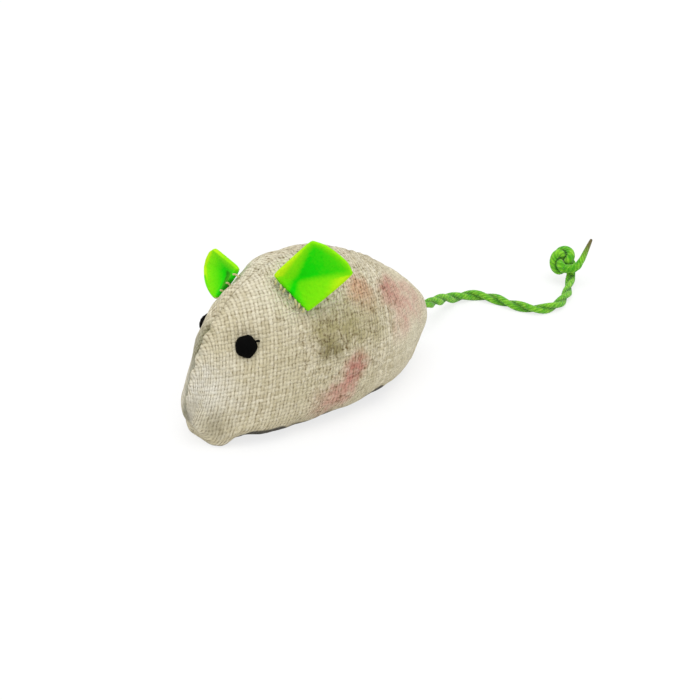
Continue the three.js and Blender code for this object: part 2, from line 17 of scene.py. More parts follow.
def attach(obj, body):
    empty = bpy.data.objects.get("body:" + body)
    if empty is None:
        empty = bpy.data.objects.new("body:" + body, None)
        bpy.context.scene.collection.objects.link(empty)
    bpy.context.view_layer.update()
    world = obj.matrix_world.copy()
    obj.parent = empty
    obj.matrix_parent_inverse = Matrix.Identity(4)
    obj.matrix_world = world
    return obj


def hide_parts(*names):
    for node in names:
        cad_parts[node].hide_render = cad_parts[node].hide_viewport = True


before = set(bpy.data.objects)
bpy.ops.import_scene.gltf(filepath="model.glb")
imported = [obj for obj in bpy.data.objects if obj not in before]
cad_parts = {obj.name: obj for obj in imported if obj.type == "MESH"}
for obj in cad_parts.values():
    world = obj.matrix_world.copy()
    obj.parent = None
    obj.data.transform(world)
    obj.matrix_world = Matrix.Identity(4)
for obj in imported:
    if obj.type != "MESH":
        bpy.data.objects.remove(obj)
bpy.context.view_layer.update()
MM = 0.001
scene = bpy.context.scene

# %% [markdown]
# ## Camera
#
# The toy stands a little to the left of the frame, seen from in front of its left cheek and from above.
# Blender's camera could be aimed by a constraint, but a direction worked out from two angles is easier to
# read and to change, and it leaves nothing live in the file.

# %% Camera
AZIMUTH, ELEVATION = radians(45.4), radians(29.1)
DISTANCE, LENS, SENSOR = 0.42, 74, 36
LOOKED_AT = Vector((9.83, 9.97, 13.2)) * MM

towards_camera = Vector((
    sin(AZIMUTH) * cos(ELEVATION),
    -cos(AZIMUTH) * cos(ELEVATION),
    sin(ELEVATION),
))
camera = bpy.data.objects.new("camera", bpy.data.cameras.new("camera"))
camera.data.lens = LENS
camera.data.sensor_width = SENSOR
camera.data.clip_start = 0.01
camera.location = LOOKED_AT + towards_camera * DISTANCE
camera.rotation_mode = "QUATERNION"
camera.rotation_quaternion = (-towards_camera).to_track_quat("-Z", "Y")
scene.collection.objects.link(camera)
scene.camera = camera
scene.view_settings.view_transform = "Standard"
print("camera at", [round(x, 3) for x in camera.location])

# %% [markdown]
# ## Small helpers for nodes
#
# Shader trees are quicker to read as formulas. A Value is a node's output that can be added, taken away and
# multiplied like a number. A Tree adds one node, links or sets its inputs, and hands back the Value to go on
# with. A Finish is the tree of one material.

# %% Node helpers
class Value:
    def __init__(self, tree, socket):
        self.tree, self.socket = tree, socket

    def __add__(self, other):
        return self.tree.calc("ADD", self, other)

    def __sub__(self, other):
        return self.tree.calc("SUBTRACT", self, other)

    def __rsub__(self, other):
        return self.tree.calc("SUBTRACT", other, self)

    def __mul__(self, other):
        return self.tree.calc("MULTIPLY", self, other)


class Tree:
    def __init__(self, node_tree):
        self.nodes, self.links = node_tree.nodes, node_tree.links

    def feed(self, socket, value):
        if isinstance(value, Value):
            self.links.new(value.socket, socket)
        else:
            socket.default_value = value

    def add(self, kind, output=0, inputs=None, **settings):
        node = self.nodes.new("ShaderNode" + kind)
        for name, setting in settings.items():
            setattr(node, name, setting)
        for key, value in (inputs or {}).items():
            self.feed(node.inputs[key], value)
        return Value(self, node.outputs[output])

    def outputs(self, node):
        return {socket.name: Value(self, socket) for socket in node.outputs}

    def calc(self, operation, *values, clamp=False):
        return self.add("Math", 0, dict(enumerate(values)), operation=operation, use_clamp=clamp)

    def vector(self, operation, *values):
        output = "Value" if operation == "DISTANCE" else "Vector"
        return self.add("VectorMath", output, dict(enumerate(values)), operation=operation)

    def scaled(self, vector, scale):
        return self.add("VectorMath", "Vector", {0: vector, "Scale": scale}, operation="SCALE")

    def axes(self, vector):
        split = self.add("SeparateXYZ", 0, {0: vector}).socket.node
        return [Value(self, socket) for socket in split.outputs]

    def blend(self, share, first, second, way="MIX"):
        return self.add("Mix", 2, {"Factor": share, 6: first, 7: second}, data_type="RGBA", blend_type=way)

    def ramp(self, value, low, high, to_low=0, to_high=1):
        ends = {"Value": value, "From Min": low, "From Max": high, "To Min": to_low, "To Max": to_high}
        return self.add("MapRange", "Result", ends, interpolation_type="SMOOTHSTEP")

    def clouds(self, place, scale, detail=2, roughness=0.5, output="Fac"):
        return self.add("TexNoise", output, {
            "Vector": place, "Scale": scale, "Detail": detail, "Roughness": roughness})

    def place(self):
        return self.add("TexCoord", "Object")

    def lie(self):
        return self.add("UVMap", "UV", uv_map="lie")

    def noted(self, name):
        return self.add("Attribute", "Fac", attribute_name=name)


print("node helpers ready")


# %% Material helpers
class Finish(Tree):
    def __init__(self, name, roughness, sheen=0, specular=0.2):
        self.material = bpy.data.materials.new(name)
        self.material.use_nodes = True
        super().__init__(self.material.node_tree)
        self.shader = self.nodes["Principled BSDF"]
        for key, value in (("Roughness", roughness), ("Specular IOR Level", specular),
                           ("Sheen Weight", sheen), ("Sheen Roughness", 0.5)):
            self.shader.inputs[key].default_value = value

    def colour(self, value):
        self.feed(self.shader.inputs["Base Color"], value)

    def bump(self, height, distance):
        normal = self.add("Bump", "Normal", {"Distance": distance, "Height": height})
        self.feed(self.shader.inputs["Normal"], normal)


def srgb(red, green, blue):
    def linear(x):
        x /= 255
        return x / 12.92 if x <= 0.04045 else ((x + 0.055) / 1.055) ** 2.4
    return (linear(red), linear(green), linear(blue), 1)


def grained(name, roughness, scale, detail, rough, dark, light, relief, **looks):
    finish = Finish(name, roughness, **looks)
    grain = finish.clouds(finish.place(), scale, detail, rough)
    finish.colour(finish.blend(grain, dark, light))
    finish.bump(grain, relief)
    return finish


print("material helpers ready")

# %% [markdown]
# ## From a flat grid to a piece
#
# Cloth, felt and yarn all start flat. A helper takes Blender's grid, puts each corner where a rule says and
# keeps the grid's own two directions as a UV map, so that a weave or a twist can follow the piece. A rule is
# given in millimetres, because that is how one thinks about a toy of this size. Notes are values that a
# finish reads from the corners, such as how much painted shade a corner takes in a fold. Knots and crumbs
# start as a ball.
# Each finished piece then joins the frame: it rides a body and stands for a node.

# %% Grid helpers
WELD, WELD_ENDS = 1e-6, 2e-5


def shaped_grid(columns, rows, place, lie=None, **notes):
    bm = bmesh.new()
    layer = bm.loops.layers.uv.new("lie")
    kept = {name: bm.verts.layers.float.new(name) for name in notes}
    bmesh.ops.create_grid(bm, x_segments=columns, y_segments=rows, size=0.5)
    share = {vert: (vert.co.x + 0.5, vert.co.y + 0.5) for vert in bm.verts}
    for face in bm.faces:
        for loop in face.loops:
            u, v = share[loop.vert]
            loop[layer].uv = lie(u, v) if lie else (u, v)
    for vert, (u, v) in share.items():
        vert.co = place(u, v) * MM
        for name, note in notes.items():
            vert[kept[name]] = note(u, v)
    return bm


def shaped_ball(subdivisions, place):
    bm = bmesh.new()
    bmesh.ops.create_icosphere(bm, subdivisions=subdivisions, radius=1)
    for vert in bm.verts:
        vert.co = place(vert.co.copy()) * MM
    return bm


def weld(bm, distance=WELD):
    bmesh.ops.remove_doubles(bm, verts=bm.verts, dist=distance)


def close(bm, most_sides):
    bmesh.ops.holes_fill(bm, edges=[edge for edge in bm.edges if edge.is_boundary], sides=most_sides)


print("grid helpers ready")


# %% Piece helpers
def gather(parts):
    whole = bmesh.new()
    for part in parts:
        bmesh.ops.recalc_face_normals(part, faces=part.faces)
        carrier = bpy.data.meshes.new("carrier")
        part.to_mesh(carrier)
        part.free()
        whole.from_mesh(carrier)
        bpy.data.meshes.remove(carrier)
    return whole


def piece_from(bm, name, finish):
    bmesh.ops.recalc_face_normals(bm, faces=bm.faces)
    for face in bm.faces:
        face.smooth = True
    mesh = bpy.data.meshes.new(name)
    bm.to_mesh(mesh)
    bm.free()
    piece = bpy.data.objects.new(name, mesh)
    scene.collection.objects.link(piece)
    piece.data.materials.append(finish.material)
    return piece


def face_towards(piece, way):
    middle = piece.data.polygons[len(piece.data.polygons) // 2]
    if middle.normal.dot(way) < 0:
        piece.data.flip_normals()


def thicken(piece, millimetres):
    wall = piece.modifiers.new("wall", "SOLIDIFY")
    wall.thickness = millimetres * MM
    wall.offset = -1


def refine(piece):
    finer = piece.modifiers.new("finer", "SUBSURF")
    finer.levels = 1
    finer.render_levels = 1


SIDES = {1: "left", -1: "right"}


def join_frame(piece, node, body="body"):
    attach(piece, body)
    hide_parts(node)
    return piece


def add_piece(bm, name, finish, node, body="body"):
    return join_frame(piece_from(bm, name, finish), node, body)


print("piece helpers ready")

# %% [markdown]
# ## Stage and light
#
# A pale floor, a bright even surround and one large soft lamp from above give the flat studio light that
# small toys are usually shown in. The surround is plain white to the camera, and dimmer as a light, so
# that the white behind the toy doesn't wash out its colours. The floor keeps a soft shadow.

# %% Stage and light
WHITE = (1, 1, 1, 1)
SURROUND_LIGHT, LAMP_LIGHT, LAMP_SPREAD = 0.70, 1.35, radians(50)
LAMP_AIM = Vector((-0.14, 0.1, -0.98))
FLOOR_LIT, FLOOR_SHADED, FLOOR_GLOW, FLOOR_HALF = (0.85, 0.85, 0.85, 1), (0.24, 0.24, 0.24, 1), 0.76, 4


def seen_as(tree, seen, otherwise, output):
    path = tree.outputs(tree.nodes.new("ShaderNodeLightPath"))
    either = tree.calc("MAXIMUM", path["Is Camera Ray"], path["Is Glossy Ray"])
    directly = tree.calc("MAXIMUM", either, path["Is Transmission Ray"])
    choice = tree.add("MixShader", 0, {"Fac": directly, 1: Value(tree, otherwise.outputs[0]), 2: seen})
    tree.feed(tree.nodes[output].inputs["Surface"], choice)


world = bpy.data.worlds.new("studio")
world.use_nodes = True
scene.world = world
sky = Tree(world.node_tree)
surround = sky.nodes["Background"]
surround.inputs["Color"].default_value = WHITE
surround.inputs["Strength"].default_value = SURROUND_LIGHT
seen_as(sky, sky.add("Background", 0, {"Color": WHITE}), surround, "World Output")

softbox = bpy.data.objects.new("softbox", bpy.data.lights.new("softbox", "SUN"))
softbox.data.energy = LAMP_LIGHT
softbox.data.angle = LAMP_SPREAD
softbox.rotation_mode = "QUATERNION"
softbox.rotation_quaternion = LAMP_AIM.to_track_quat("-Z", "Y")
scene.collection.objects.link(softbox)

paint = Finish("floor_paint", 0.9, specular=0)
paint.colour(FLOOR_LIT)
matt = paint.add("BsdfDiffuse", 0, {"Color": FLOOR_SHADED})
glow = paint.add("Emission", 0, {"Strength": FLOOR_GLOW})
seen_as(paint, paint.add("AddShader", 0, {0: matt, 1: glow}), paint.shader, "Material Output")
bm = bmesh.new()
bmesh.ops.create_grid(bm, x_segments=1, y_segments=1, size=FLOOR_HALF)
piece_from(bm, "floor", paint)
print("stage ready")

# %% [markdown]
# ## The body's form
#
# The stuffed body swells from a low pointed nose to a tall round back. The same few rules as the solids use
# give its outline here: how wide, how high and how round each cross-section is, how the hem arches up behind
# the chin, and where hand stuffing swells the cloth or leaves it slack. Numbers are millimetres. A station
# runs from 0 at the nose to 1 at the rump, and an angle from 0 at the crown seam down to the base seam.

# %% Body form
LENGTH, WIDTH, HEIGHT = 85, 45, 46
NOSE_HEIGHT, TAIL_HEIGHT = 6, 14
CROWN_POWERS, WIDTH_POWERS = (0.49, 0.65), (0.63, 0.42)
CHIN_RISE, HEEL_RISE = 8, 18
THROAT_RISE, THROAT_FROM_NOSE, THROAT_REACH = 2, 11, 5
BELLY_TUCK, CROWN_ROUND, BELLY_ROUND = 1.18, 1.87, 2.16
BASE_EDGE = pi - acos(BELLY_TUCK ** (-BELLY_ROUND / 2))
HALF_GAP, SEAM_HOLD = 0.3, 3


def bell(distance, reach, power=2):
    return exp(-((distance / reach) ** power))


def clamped(x):
    return min(1, max(0, x))


def swell(t, powers):
    nose, rump = powers
    peak = nose / (nose + rump)
    return (t / peak) ** nose * ((1 - t) / (1 - peak)) ** rump


def footing(t):
    share = min(1, t * LENGTH / CHIN_RISE, (1 - t) * LENGTH / HEEL_RISE)
    return sqrt(max(0, 1 - (1 - share) ** 2))


def form(t, angle, side, inset=0, gap=HALF_GAP):
    t = clamped(t)
    waist = NOSE_HEIGHT + (TAIL_HEIGHT - NOSE_HEIGHT) * t
    crown = waist + (HEIGHT - inset - waist) * swell(t, CROWN_POWERS)
    throat = THROAT_RISE * footing(t) * bell(t * LENGTH - THROAT_FROM_NOSE, THROAT_REACH)
    base = inset + (waist - inset) * (1 - footing(t)) + throat
    half_width = (WIDTH / 2 - inset) * swell(t, WIDTH_POWERS)
    upper = angle <= pi / 2
    power = 2 / (CROWN_ROUND if upper else BELLY_ROUND)
    out = max(0, sin(angle)) ** power
    up = abs(cos(angle)) ** power
    x = gap + half_width * (1 - gap / (WIDTH / 2 - inset)) * out
    y = -LENGTH / 2 + inset + (LENGTH - 2 * inset) * t
    z = waist + (crown - waist) * up if upper else waist - BELLY_TUCK * (waist - base) * up
    return Vector((side * x, y, z))


def outward(t, angle, side):
    t = min(max(t, 0.004), 0.996)
    angle = min(max(angle, 0.02), BASE_EDGE)
    step = 1e-3
    along = form(t + step, angle, side) - form(t - step, angle, side)
    down = form(t, angle + step, side) - form(t, angle - step, side)
    return (along.cross(down) * -side).normalized()


print("middle of the back is", round(form(0.5, 0, 1).z, 1), "mm high")

# %% Stuffed skin
# Millimetres from the nose, degrees from the crown, reach and push.
SWELLS = [(form(from_nose / LENGTH, radians(angle), 1), reach, push) for from_nose, angle, reach, push in (
    (5.7, 43, 7, -1), (13.2, 31, 6.5, -0.8), (2.4, 75, 4, 0.7),
    (74.1, 110, 8, -1.8), (80.9, 67, 6, 0.8), (76.9, 24, 8, 0.9))]


def pushed(point, places):
    return sum(most * bell((point - centre).length, reach) for centre, reach, most in places)


def skin(t, angle, side, inset=0, gap=HALF_GAP):
    point = form(t, angle, 1)
    push = pushed(point, SWELLS)
    for seam in (0, BASE_EDGE):
        push *= 1 - bell((point - form(t, seam, 1)).length, SEAM_HOLD)
    return form(t, angle, side, inset, gap) + outward(t, angle, side) * push


def station(share):
    return (1 - cos(pi * share)) / 2


def push_way(t, angle, side):
    near_end = max(0, 1 - min(t, 1 - t) * LENGTH / 2)
    end = Vector((0, -1 if t < 0.5 else 1, 0))
    return outward(t, angle, side).lerp(end, near_end ** 2).normalized()


print("widest", round(max(skin(t / 50, pi / 2, 1).x for t in range(51)), 2), "mm from the middle")

# %% [markdown]
# ## How the cloth lies
#
# Woven cloth can't stretch to follow a round body, so its yarns keep their spacing and run out at the seams.
# Arc lengths measured over the skin, along the body and down the flank, give each corner its place in the
# weave. One unit of the map is one yarn.

# %% Lie of the cloth
YARN = 1.1
COLUMNS, ROWS = 112, 56
skin_points = np.array([[skin(station(i / COLUMNS), BASE_EDGE * j / ROWS, 1) for j in range(ROWS + 1)]
                        for i in range(COLUMNS + 1)])


def run_lengths(axis):
    steps = np.linalg.norm(np.diff(skin_points, axis=axis), axis=2)
    return np.insert(np.cumsum(steps, axis=axis), 0, 0, axis=axis)


from_nose_end, down_skin = run_lengths(0), run_lengths(1)
along_crown = from_nose_end[:, 0]
along_skin = from_nose_end - from_nose_end[COLUMNS // 2]
print("cloth is", np.ptp(along_skin).round(1), "mm long and", down_skin.max().round(1), "mm deep")

# %% [markdown]
# ## Woven cloth
#
# The cloth is a coarse plain weave of oatmeal yarn: each yarn goes over one and under the next. An image could
# carry that, but a formula stays sharp at any distance. One node group works out which yarn lies on top, how
# high it is and how dark it is, and both the panels and the sachet inside use it with their own values.

# %% Weave group
YARN_ROUND = 0.55
ALONG_UPRIGHT, ALONG_LEVEL = (0.9, 0.16, 1), (0.16, 0.9, 1)


def weave_group():
    group = bpy.data.node_groups.new("plain_weave", "ShaderNodeTree")
    for way, names in (("INPUT", ("Yarns", "Wander", "Rib")), ("OUTPUT", ("Height", "Groove", "Tone", "Hair"))):
        for name in names:
            kind = "NodeSocketVector" if name == "Yarns" else "NodeSocketFloat"
            group.interface.new_socket(name=name, in_out=way, socket_type=kind)
    tree = Tree(group)
    given = tree.outputs(group.nodes.new("NodeGroupInput"))
    result = group.nodes.new("NodeGroupOutput").inputs
    drift = tree.vector("SUBTRACT", tree.clouds(given["Yarns"], 0.33, 3, 0.6, "Color"), (0.5, 0.5, 0.5))
    yarns = tree.vector("ADD", given["Yarns"], tree.scaled(drift, given["Wander"]))
    x, y, _ = tree.axes(yarns)
    rib, row = tree.calc("FLOOR", x), tree.calc("FLOOR", y)

    def round_top(across, power):
        return tree.calc("POWER", tree.calc("ABSOLUTE", tree.calc("SINE", across * pi)), power)

    def yarn_height(across, count, other, sign, stretch):
        wave = tree.calc("COSINE", (other - 0.5 + count) * pi)
        slub = tree.clouds(tree.vector("MULTIPLY", yarns, stretch), 1)
        return round_top(across, YARN_ROUND) * (wave * (0.36 * sign) + 0.64) * (slub * 0.9 + 0.55)

    def gap(across, power):
        return 1 - round_top(across, power)

    def broken(seed, low, high):
        moved = tree.vector("ADD", yarns, (seed, 0, 0))
        return tree.ramp(tree.clouds(moved, 0.7, 4, 0.65), low, high)

    def chance(count, seed):
        return tree.add("TexWhiteNoise", "Value", {"W": count + seed}, noise_dimensions="1D")

    upright = yarn_height(x, rib, y, 1, ALONG_UPRIGHT) + given["Rib"]
    level = yarn_height(y, row, x, -1, ALONG_LEVEL)
    upright_on_top = tree.calc("GREATER_THAN", upright, level)
    # The gap output is painted shade: it darkens the gaps and holes between the yarns, where shade falls.
    holes = gap(x, 0.9) * gap(y, 0.75) * broken(3, 0.3, 0.6)
    lines = (gap(x, YARN_ROUND) * broken(50, 0.38, 0.66)
             + gap(y, YARN_ROUND) * broken(90, 0.42, 0.7) * 0.5)
    for name, value in (
        ("Height", tree.calc("MAXIMUM", upright, level)),
        ("Groove", tree.calc("MULTIPLY_ADD", holes, 0.4, lines * 0.95, clamp=True)),
        ("Tone", tree.add("Mix", 0, {"Factor": upright_on_top, 2: chance(row, 31.5), 3: chance(rib, 7.5)})),
        ("Hair", tree.clouds(tree.vector("MULTIPLY", yarns, (1, 0.7, 1)), 6, 4, 0.65)),
    ):
        tree.feed(result[name], value)
    return group


plain_weave = weave_group()


def woven(tree, yarns, wander, rib):
    given = {"Yarns": yarns, "Wander": wander, "Rib": rib}
    return tree.outputs(tree.add("Group", 0, given, node_tree=plain_weave).socket.node)


print("weave group has", len(plain_weave.nodes), "nodes")

# %% [markdown]
# ## Body cloth
#
# The yarn is undyed, and the gaps between the yarns are painted darker as shade. The cloth has faded: two soft
# pinkish patches on the flank, an orange one behind the ear and a dull olive one below it, while paler patches
# on the snout, the top and the rump are painted light. Each patch is a ball of colour in object space, with its
# edge broken up by clouds, so the panels share one finish. From the ears back the cloth is worn, and on the
# rump painted light fades the weave's dark gaps and light flecks. Where the hem lifts off the floor it falls
# into painted shade, and painted shade also darkens the cloth along the crown seam and round the ears' bases.

# %% Faded patches and painted light
PINK, ROSE, OLIVE = srgb(210, 154, 138), srgb(198, 120, 108), srgb(132, 121, 72)
PALE_LIGHT, TAN, GREY = srgb(240, 234, 210), srgb(180, 170, 122), srgb(172, 162, 132)
CREAM_LIGHT, ORANGE, SALMON = srgb(246, 242, 228), srgb(216, 160, 124), srgb(214, 170, 138)
# The cream patch on the snout and the pale ones on the top of the head, the back and the rump are painted
# light; the others are the cloth's own fading and stains.
# Centre, inner and outer radius in millimetres, colour, and how strong it is.
PATCHES = (
    (1.5, -40, 17, 1, 18, CREAM_LIGHT, 0.8), (3, -14, 44, 4, 19, PALE_LIGHT, 0.75),
    (8.4, 15.2, 38.8, 2, 12, PALE_LIGHT, 0.3), (17, 27, 23, 4, 19, PALE_LIGHT, 0.45),
    (15, 20.3, 30.5, 0.5, 7, ROSE, 0.8), (16.1, 24, 27, 0.5, 11, PINK, 0.7),
    (14.6, 31, 23.8, 0.5, 9.5, PINK, 0.5), (19, 20, 21.5, 0.5, 7, PINK, 0.45),
    (21.6, 1.1, 17.2, 0.5, 5.6, ROSE, 0.8), (21.4, -0.9, 15.8, 0.5, 5.4, ROSE, 0.7),
    (21.5, -2.6, 13.6, 0.5, 5.6, ROSE, 0.6), (21.4, -4.6, 11.6, 0.5, 6.4, PINK, 0.7),
    (21.1, -6.8, 9.4, 0.5, 7.2, PINK, 0.65), (20.5, -10.5, 7.6, 0.5, 8, PINK, 0.5),
    (14.5, 8.2, 35.2, 1, 7, ORANGE, 0.8), (16.3, 9.9, 32.5, 1, 6.5, SALMON, 0.6),
    (19.3, -5, 24, 1, 5.6, OLIVE, 0.65), (18.7, -7.6, 24.2, 1, 5.6, OLIVE, 1),
    (17, -7.7, 29.5, 1, 7, TAN, 0.9), (18, -1, 28.5, 1, 9.5, TAN, 0.9),
    (18.8, 7.4, 26.6, 2, 12.5, TAN, 0.55), (7, -39.1, 7.5, 1, 6.5, GREY, 0.8),
)
# Centre, inner and outer radius in millimetres, and how much shade the lifted hem gains.
LIFTED_HEM = ((13.2, -26.5, 3.5, 4.5, 7.5, 0.3), (19.7, 9.9, 4.1, 2, 4.5, 0.3),
              (5.2, -39.4, 0.5, 0, 6, 0.4))
print(len(PATCHES), "patches of colour and", len(LIFTED_HEM), "lifted bits of hem")

# %% Body cloth yarns
cloth = Finish("body_cloth", 0.92, sheen=0.12)
cloth_place = cloth.place()
_, back, up = cloth.axes(cloth_place)
worn = cloth.ramp(back + cloth.clouds(cloth_place, 120) * 0.014, -0.018, -0.003)
# Painted light: towards the rump the weave's dark gaps and light flecks fade, as on a strongly lit surface.
rump_glare = cloth.ramp(back - up, -0.015, 0.004)
weave = woven(cloth, cloth.lie(), worn * 1.6 + 0.7, 0.06)
yarn = cloth.blend(weave["Tone"], srgb(201, 189, 156), srgb(240, 231, 204))
soft = cloth.ramp(cloth.clouds(cloth_place, 90, 3), 0.3, 0.7, 0, 0.65)
yarn = cloth.blend(soft, yarn, srgb(215, 205, 170))
crackle = cloth.clouds(cloth_place, 560, 4, 0.7)
specks = cloth.ramp(cloth.clouds(cloth_place, 950), 0.55, 0.72)
flecks = cloth.calc("MAXIMUM", specks, cloth.ramp(crackle, 0.46, 0.36) * worn)
flecks = flecks * (rump_glare * -0.75 + 1) * (worn * 0.05 + 0.5)
yarn = cloth.blend(flecks, yarn, srgb(242, 235, 214))
print("yarns take", len(cloth.nodes), "nodes")

# %% Body cloth finish
frayed = cloth.clouds(cloth_place, 230, 4, 0.6) - 0.5
elsewhere = cloth.vector("ADD", cloth_place, (0.3, 0, 0))
mottled = cloth.ramp(cloth.clouds(elsewhere, 520), 0.25, 0.65, 0.45, 1)


def away_from(*centre):
    return cloth.vector("DISTANCE", cloth_place, [c * MM for c in centre])


for x, y, z, inner, outer, colour, strength in PATCHES:
    edge = away_from(x, y, z) + frayed * (outer * MM)
    mask = cloth.ramp(edge, inner * MM, outer * MM, strength, 0) * mottled
    yarn = cloth.blend(mask, yarn, colour)
spots = cloth.ramp(crackle, 0.52, 0.68) * (worn * 0.65)
# Painted shade in the gaps between the yarns, together with the worn cloth's dark spots, darkens the yarn.
marks = cloth.calc("MULTIPLY_ADD", weave["Groove"], 0.95, spots, clamp=True) * (rump_glare * -0.8 + 1)
cloth_colour = cloth.blend(marks, yarn, cloth.blend(1, yarn, srgb(150, 134, 104), "MULTIPLY"))
# Painted shade: the fold note darkens the cloth at the crown seam, on the right panel's strip beside it on the
# snout and round the ears' bases.
shaded_in_folds = cloth.blend(1, cloth_colour, srgb(146, 152, 132), "MULTIPLY")
cloth_colour = cloth.blend(cloth.noted("fold"), cloth_colour, shaded_in_folds)
under = cloth.noted("under")
for x, y, z, inner, outer, gain in LIFTED_HEM:
    under = under + cloth.ramp(away_from(x, y, z), inner * MM, outer * MM, gain, 0)
hem_shade = cloth.ramp(under, 0.72, 0.86, 0, 0.9)
cloth.colour(cloth.blend(hem_shade, cloth_colour, srgb(22, 19, 16)))
crumple = cloth.clouds(cloth_place, 480) * (worn * 2.2)
cloth.bump(weave["Hair"] * 0.25 + weave["Height"] + crumple, 0.0004)
print("body cloth finish has", len(cloth.nodes), "nodes")

# %% [markdown]
# ## Where the eyes and the ears are sewn on
#
# Both are placed by their distance from the nose and their angle from the crown, 1 for the left side and -1
# for the right. An ear's base is also turned about the skin and its flap leans back, so it has a small frame
# of its own: along the base, up the flap, and the way that the flap faces.

# %% Eye and ear places
EYES = {1: (13.8, 44), -1: (15.7, 48)}
EAR_PLACES = {1: (29, 31, 20, 50), -1: (20.6, 27, -13, 46)}
EAR_PARTING, EAR_LIFT, PINCH_BACK, HALF_EAR_BASE = 0.7, 0.7, 3.5, 6


def ear_frame(side):
    from_nose, angle, turn, lean = EAR_PLACES[side]
    t, (angle, turn, lean) = from_nose / LENGTH, map(radians, (angle, turn, lean))
    step = 1e-4

    def spot(t, angle):
        return skin(t, angle, side, 0, EAR_PARTING)

    down = (spot(t, angle + step) - spot(t, angle - step)).normalized()
    normal = ((spot(t + step, angle) - spot(t - step, angle)).cross(down) * -side).normalized()
    back = normal.cross(down)
    back = back if back.y > 0 else -back
    along = down * cos(turn) + back * sin(turn)
    away = back * cos(turn) - down * sin(turn)
    up = normal * cos(lean) + away * sin(lean)
    return {"hinge": spot(t, angle) + normal * EAR_LIFT, "pinch": spot(t, angle) + away * PINCH_BACK,
            "along": along, "up": up, "facing": along.cross(up) * side, "normal": normal}


EARS = {side: ear_frame(side) for side in SIDES}


def eye_place(side):
    from_nose, angle = EYES[side]
    t, angle = from_nose / LENGTH, radians(angle)
    return skin(t, angle, side), outward(t, angle, side)


def from_ear_base(point, ear):
    offset = point - ear["hinge"]
    run = min(max(offset.dot(ear["along"]), -HALF_EAR_BASE), HALF_EAR_BASE)
    return (offset - ear["along"] * run).length


print("left ear hinges at", [round(c, 1) for c in EARS[1]["hinge"]], "mm")

# %% [markdown]
# ## Side panels
#
# Each side is one panel of cloth, stuffed tight and drawn in along its seams. The panel starts as a grid on
# the body's form, with a crown seam that the stitches pull into scallops, a dimple round the eye and the
# lumps of hand stuffing. On the snout the left panel laps over the right one. A short cloth simulation then
# puffs it up between the places where it is sewn, at ten times the size, where the solver is steady, and
# with its moves capped.

# %% Panel helpers
STITCH, HAND_STITCH = 3.6, 4.9
FLOOR_GAP, FULL_DEPTH = 0.1, 12
CHIN_DROP, CHIN_FROM_NOSE, CHIN_REACH = 1.3, 4, 3.2
BRIDGE, HIND_CORNER = (Vector((0, -42, 11)), 6, 0.5), (Vector((10.4, 37.5, 20)), 4.5, 0.9)
NOSE_TUCKS = {1: 1.3, -1: 1.7}


def on_snout(t):
    above_tip = clamped((form(t, 0, 1).z - 9) / 4)
    return above_tip * clamped((11.5 - t * LENGTH) / 4)


def scallop(i):
    return 0.5 + 0.5 * cos(tau * along_crown[i] / STITCH)


def hand_wave(along):
    uneven = noise.noise(Vector((along * 0.13, 0.4, 0.7)))
    return 0.5 + 0.5 * sin(tau * along / HAND_STITCH + 3 * uneven)


def nose_tuck(place, most):
    low = clamped((10 - place.z) / 7)
    low *= low * (3 - 2 * low)
    return Vector((0, most, 0.5 * most)) * (low * bell(place.y + LENGTH / 2, 3))


print("crown seam has", round(along_crown[-1] / STITCH), "stitches")


# %% Panel rules
def panel_rule(side):
    eye_point, _ = eye_place(side)
    ear = EARS[side]
    places = [BRIDGE, HIND_CORNER, (eye_point, 3.4, -1.5), (ear["pinch"], 3.2, -1.2)]

    def rule(u, v):
        t, angle = station(u), BASE_EDGE * v
        i, j = round(u * COLUMNS), round(v * ROWS)
        point, from_nose = skin(t, angle, side), t * LENGTH
        from_crown, from_base = down_skin[i, j], down_skin[i, ROWS] - down_skin[i, j]
        fade = clamped(down_skin[i, ROWS] / FULL_DEPTH)
        # The crown seam: a scalloped lip, and the lap on the snout.
        lip = 0.7 - 1.3 * scallop(i) if side > 0 else -1 - 0.3 * scallop(i)
        lip *= clamped((0.95 - t) / 0.12) * (0.45 + 0.4 * on_snout(t))
        lap = on_snout(t) * bell(from_crown, 1.4)
        move = (lip + 0.5 * side * lap) * fade * bell(from_crown, 1.3)
        # The hem is drawn in and the belly bulges above it, with the jowl in front.
        belly = fade * bell(from_base - 3, 4) * clamped((0.97 - t) / 0.1)
        jowl = bell(from_base, 5)
        move += 0.8 * belly - 0.5 * fade * bell(from_base, 1.5) + 0.6 * bell(from_nose - 5, 3) * jowl
        # Dimples where the eye and the ear are sewn on, with a soft ring round the eye.
        move += pushed(point, places) + 0.35 * bell((point - eye_point).length - 6, 2.2)
        move -= 1.1 * bell(from_ear_base(point, ear), 2.2)
        lumps = noise.noise(point * 0.085 + Vector((side * 9, 3, 5)))
        creases = noise.noise(point * 0.24 + Vector((2, side * 4, 7)))
        move += fade * (0.4 * lumps + 0.2 * creases)
        drop = CHIN_DROP * bell(from_nose - CHIN_FROM_NOSE, CHIN_REACH) * jowl + 0.5 * belly
        place = point + push_way(t, angle, side) * move - Vector((0, 0, drop))
        place.x -= side * 0.28 * bell(from_nose, 5)
        if side > 0:
            place.x -= lap * hand_wave(along_crown[i])
        place += nose_tuck(place, NOSE_TUCKS[side])
        place.z = max(place.z, FLOOR_GAP)
        return place

    return rule


print("middle of the left flank is at", [round(c, 1) for c in panel_rule(1)(0.5, 0.5)], "mm")


